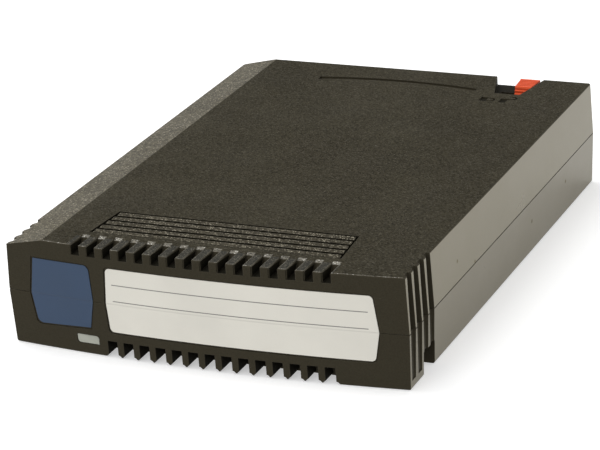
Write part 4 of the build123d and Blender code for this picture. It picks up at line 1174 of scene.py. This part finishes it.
def star_recess():
    """thin dark six-lobed plate that lies on a screw head: painted shade that stands in for its socket"""
    middle = (SOCKET_OUTER + SOCKET_INNER) / 2
    wave = (SOCKET_OUTER - SOCKET_INNER) / 2
    rim = []
    for i in range(SOCKET_POINTS):
        angle = i * 2 * math.pi / SOCKET_POINTS
        radius = middle + wave * math.cos(SOCKET_LOBES * angle)
        rim.append((radius * math.cos(angle), radius * math.sin(angle)))
    body = bmesh.new()
    outline_prism(body, rim, -SOCKET_HALF, SOCKET_HALF)
    return mesh_object("star_recess", body)


def head_middles(node, at_top):
    """middle of each screw head of a node"""
    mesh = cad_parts[node].data
    low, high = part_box(node)
    level = high[2] if at_top else low[2]
    groups = []
    for vert in mesh.vertices:
        if abs(vert.co.z - level) < HEAD_TOLERANCE:
            for group in groups:
                if (group[0].xy - vert.co.xy).length < HEAD_REACH:
                    group.append(vert.co.copy())
                    break
            else:
                groups.append([vert.co.copy()])
    middles = []
    for group in groups:
        xs = [co.x for co in group]
        ys = [co.y for co in group]
        middles.append(((min(xs) + max(xs)) / 2, (min(ys) + max(ys)) / 2, level))
    return middles


def make_screw_socket_shades():
    """dark plates of painted shade that stand in for the drive sockets of the cover screws and the board
    screws
    """
    shape = star_recess()
    dark = bare_metal("socket_shadow", SOCKET_SHADOW, 0.5)
    for node, at_top in (("cover_screws", True), ("board_screws", False)):
        points = guide("socket_guide", head_middles(node, at_top))
        grow(node + "_sockets", points, copies_on_guide, {"Shape": shape, "Turn": 0.0}, dark)
    bpy.data.objects.remove(shape)


make_chip_leads()
make_stator_windings()
make_board_parts()
make_screw_socket_shades()


# Camera, floor and light


def make_camera():
    """camera at the photograph's viewing angle"""
    data = bpy.data.cameras.new("camera")
    data.lens = CAMERA_LENS
    data.sensor_width = CAMERA_SENSOR
    data.clip_start, data.clip_end = CAMERA_RANGE
    camera = add_object("camera", data)
    camera.location = EYE
    turn = Euler((0, 0, math.radians(CAMERA_TURN))).to_matrix()
    tilt = Euler((math.radians(CAMERA_TILT), 0, 0)).to_matrix()
    roll = Euler((0, 0, math.radians(CAMERA_ROLL))).to_matrix()
    camera.rotation_euler = (turn @ tilt @ roll).to_euler()
    bpy.context.scene.camera = camera


def seen_directly(tree):
    """1 for rays from the camera, a mirror or glass, and 0 for light on the object"""
    path = tree.nodes.new("ShaderNodeLightPath")
    seen = math_node(tree, "MAXIMUM", path.outputs["Is Camera Ray"], path.outputs["Is Glossy Ray"])
    return math_node(tree, "MAXIMUM", seen, path.outputs["Is Transmission Ray"])


def make_floor():
    """wide pale floor that hides nothing from below and lets light reach the underside"""
    mesh = bpy.data.meshes.new("floor")
    signs = ((-1, -1), (1, -1), (1, 1), (-1, 1))
    corners = [(x * FLOOR_REACH, y * FLOOR_REACH, FLOOR_LEVEL) for x, y in signs]
    mesh.from_pydata(corners, [], [(0, 1, 2, 3)])
    floor = add_object("floor", mesh)
    material, tree = new_material("floor_white")
    inputs = tree.nodes["Principled BSDF"].inputs
    inputs["Base Color"].default_value = FLOOR_GREY
    inputs["Roughness"].default_value = 1.0
    inputs["Specular IOR Level"].default_value = 0.0
    inputs["Emission Color"].default_value = WHITE
    tree.links.new(times(tree, seen_directly(tree), FLOOR_GLOW), inputs["Emission Strength"])
    path = tree.nodes.new("ShaderNodeLightPath")
    open_to = tree.nodes.new("ShaderNodeNewGeometry").outputs["Backfacing"]
    for ray in ("Is Diffuse Ray", "Is Shadow Ray"):
        open_to = math_node(tree, "MAXIMUM", open_to, path.outputs[ray])
    tree.links.new(math_node(tree, "SUBTRACT", 1.0, open_to), inputs["Alpha"])
    mesh.materials.append(material)


def make_lamp(name, place, size, power):
    """square soft lamp that faces the origin"""
    data = bpy.data.lights.new(name, "AREA")
    data.shape = "SQUARE"
    data.size = size
    data.energy = power
    lamp = add_object(name, data)
    lamp.location = place
    lamp.rotation_euler = (-Vector(place)).to_track_quat("-Z", "Y").to_euler()


def make_world():
    """white surroundings, dimmer for the light that falls on the object"""
    world = bpy.data.worlds.new("studio")
    world.use_nodes = True
    tree = world.node_tree
    background = tree.nodes["Background"]
    background.inputs["Color"].default_value = WHITE
    level = stretch(tree, seen_directly(tree), 0.0, 1.0, WORLD_LIGHT, 1.0)
    tree.links.new(level, background.inputs["Strength"])
    bpy.context.scene.world = world


make_camera()
make_floor()
for name, (place, size, power) in LAMPS.items():
    make_lamp(name, place, size, power)
make_world()

scene = bpy.context.scene
scene.view_settings.view_transform = "Standard"
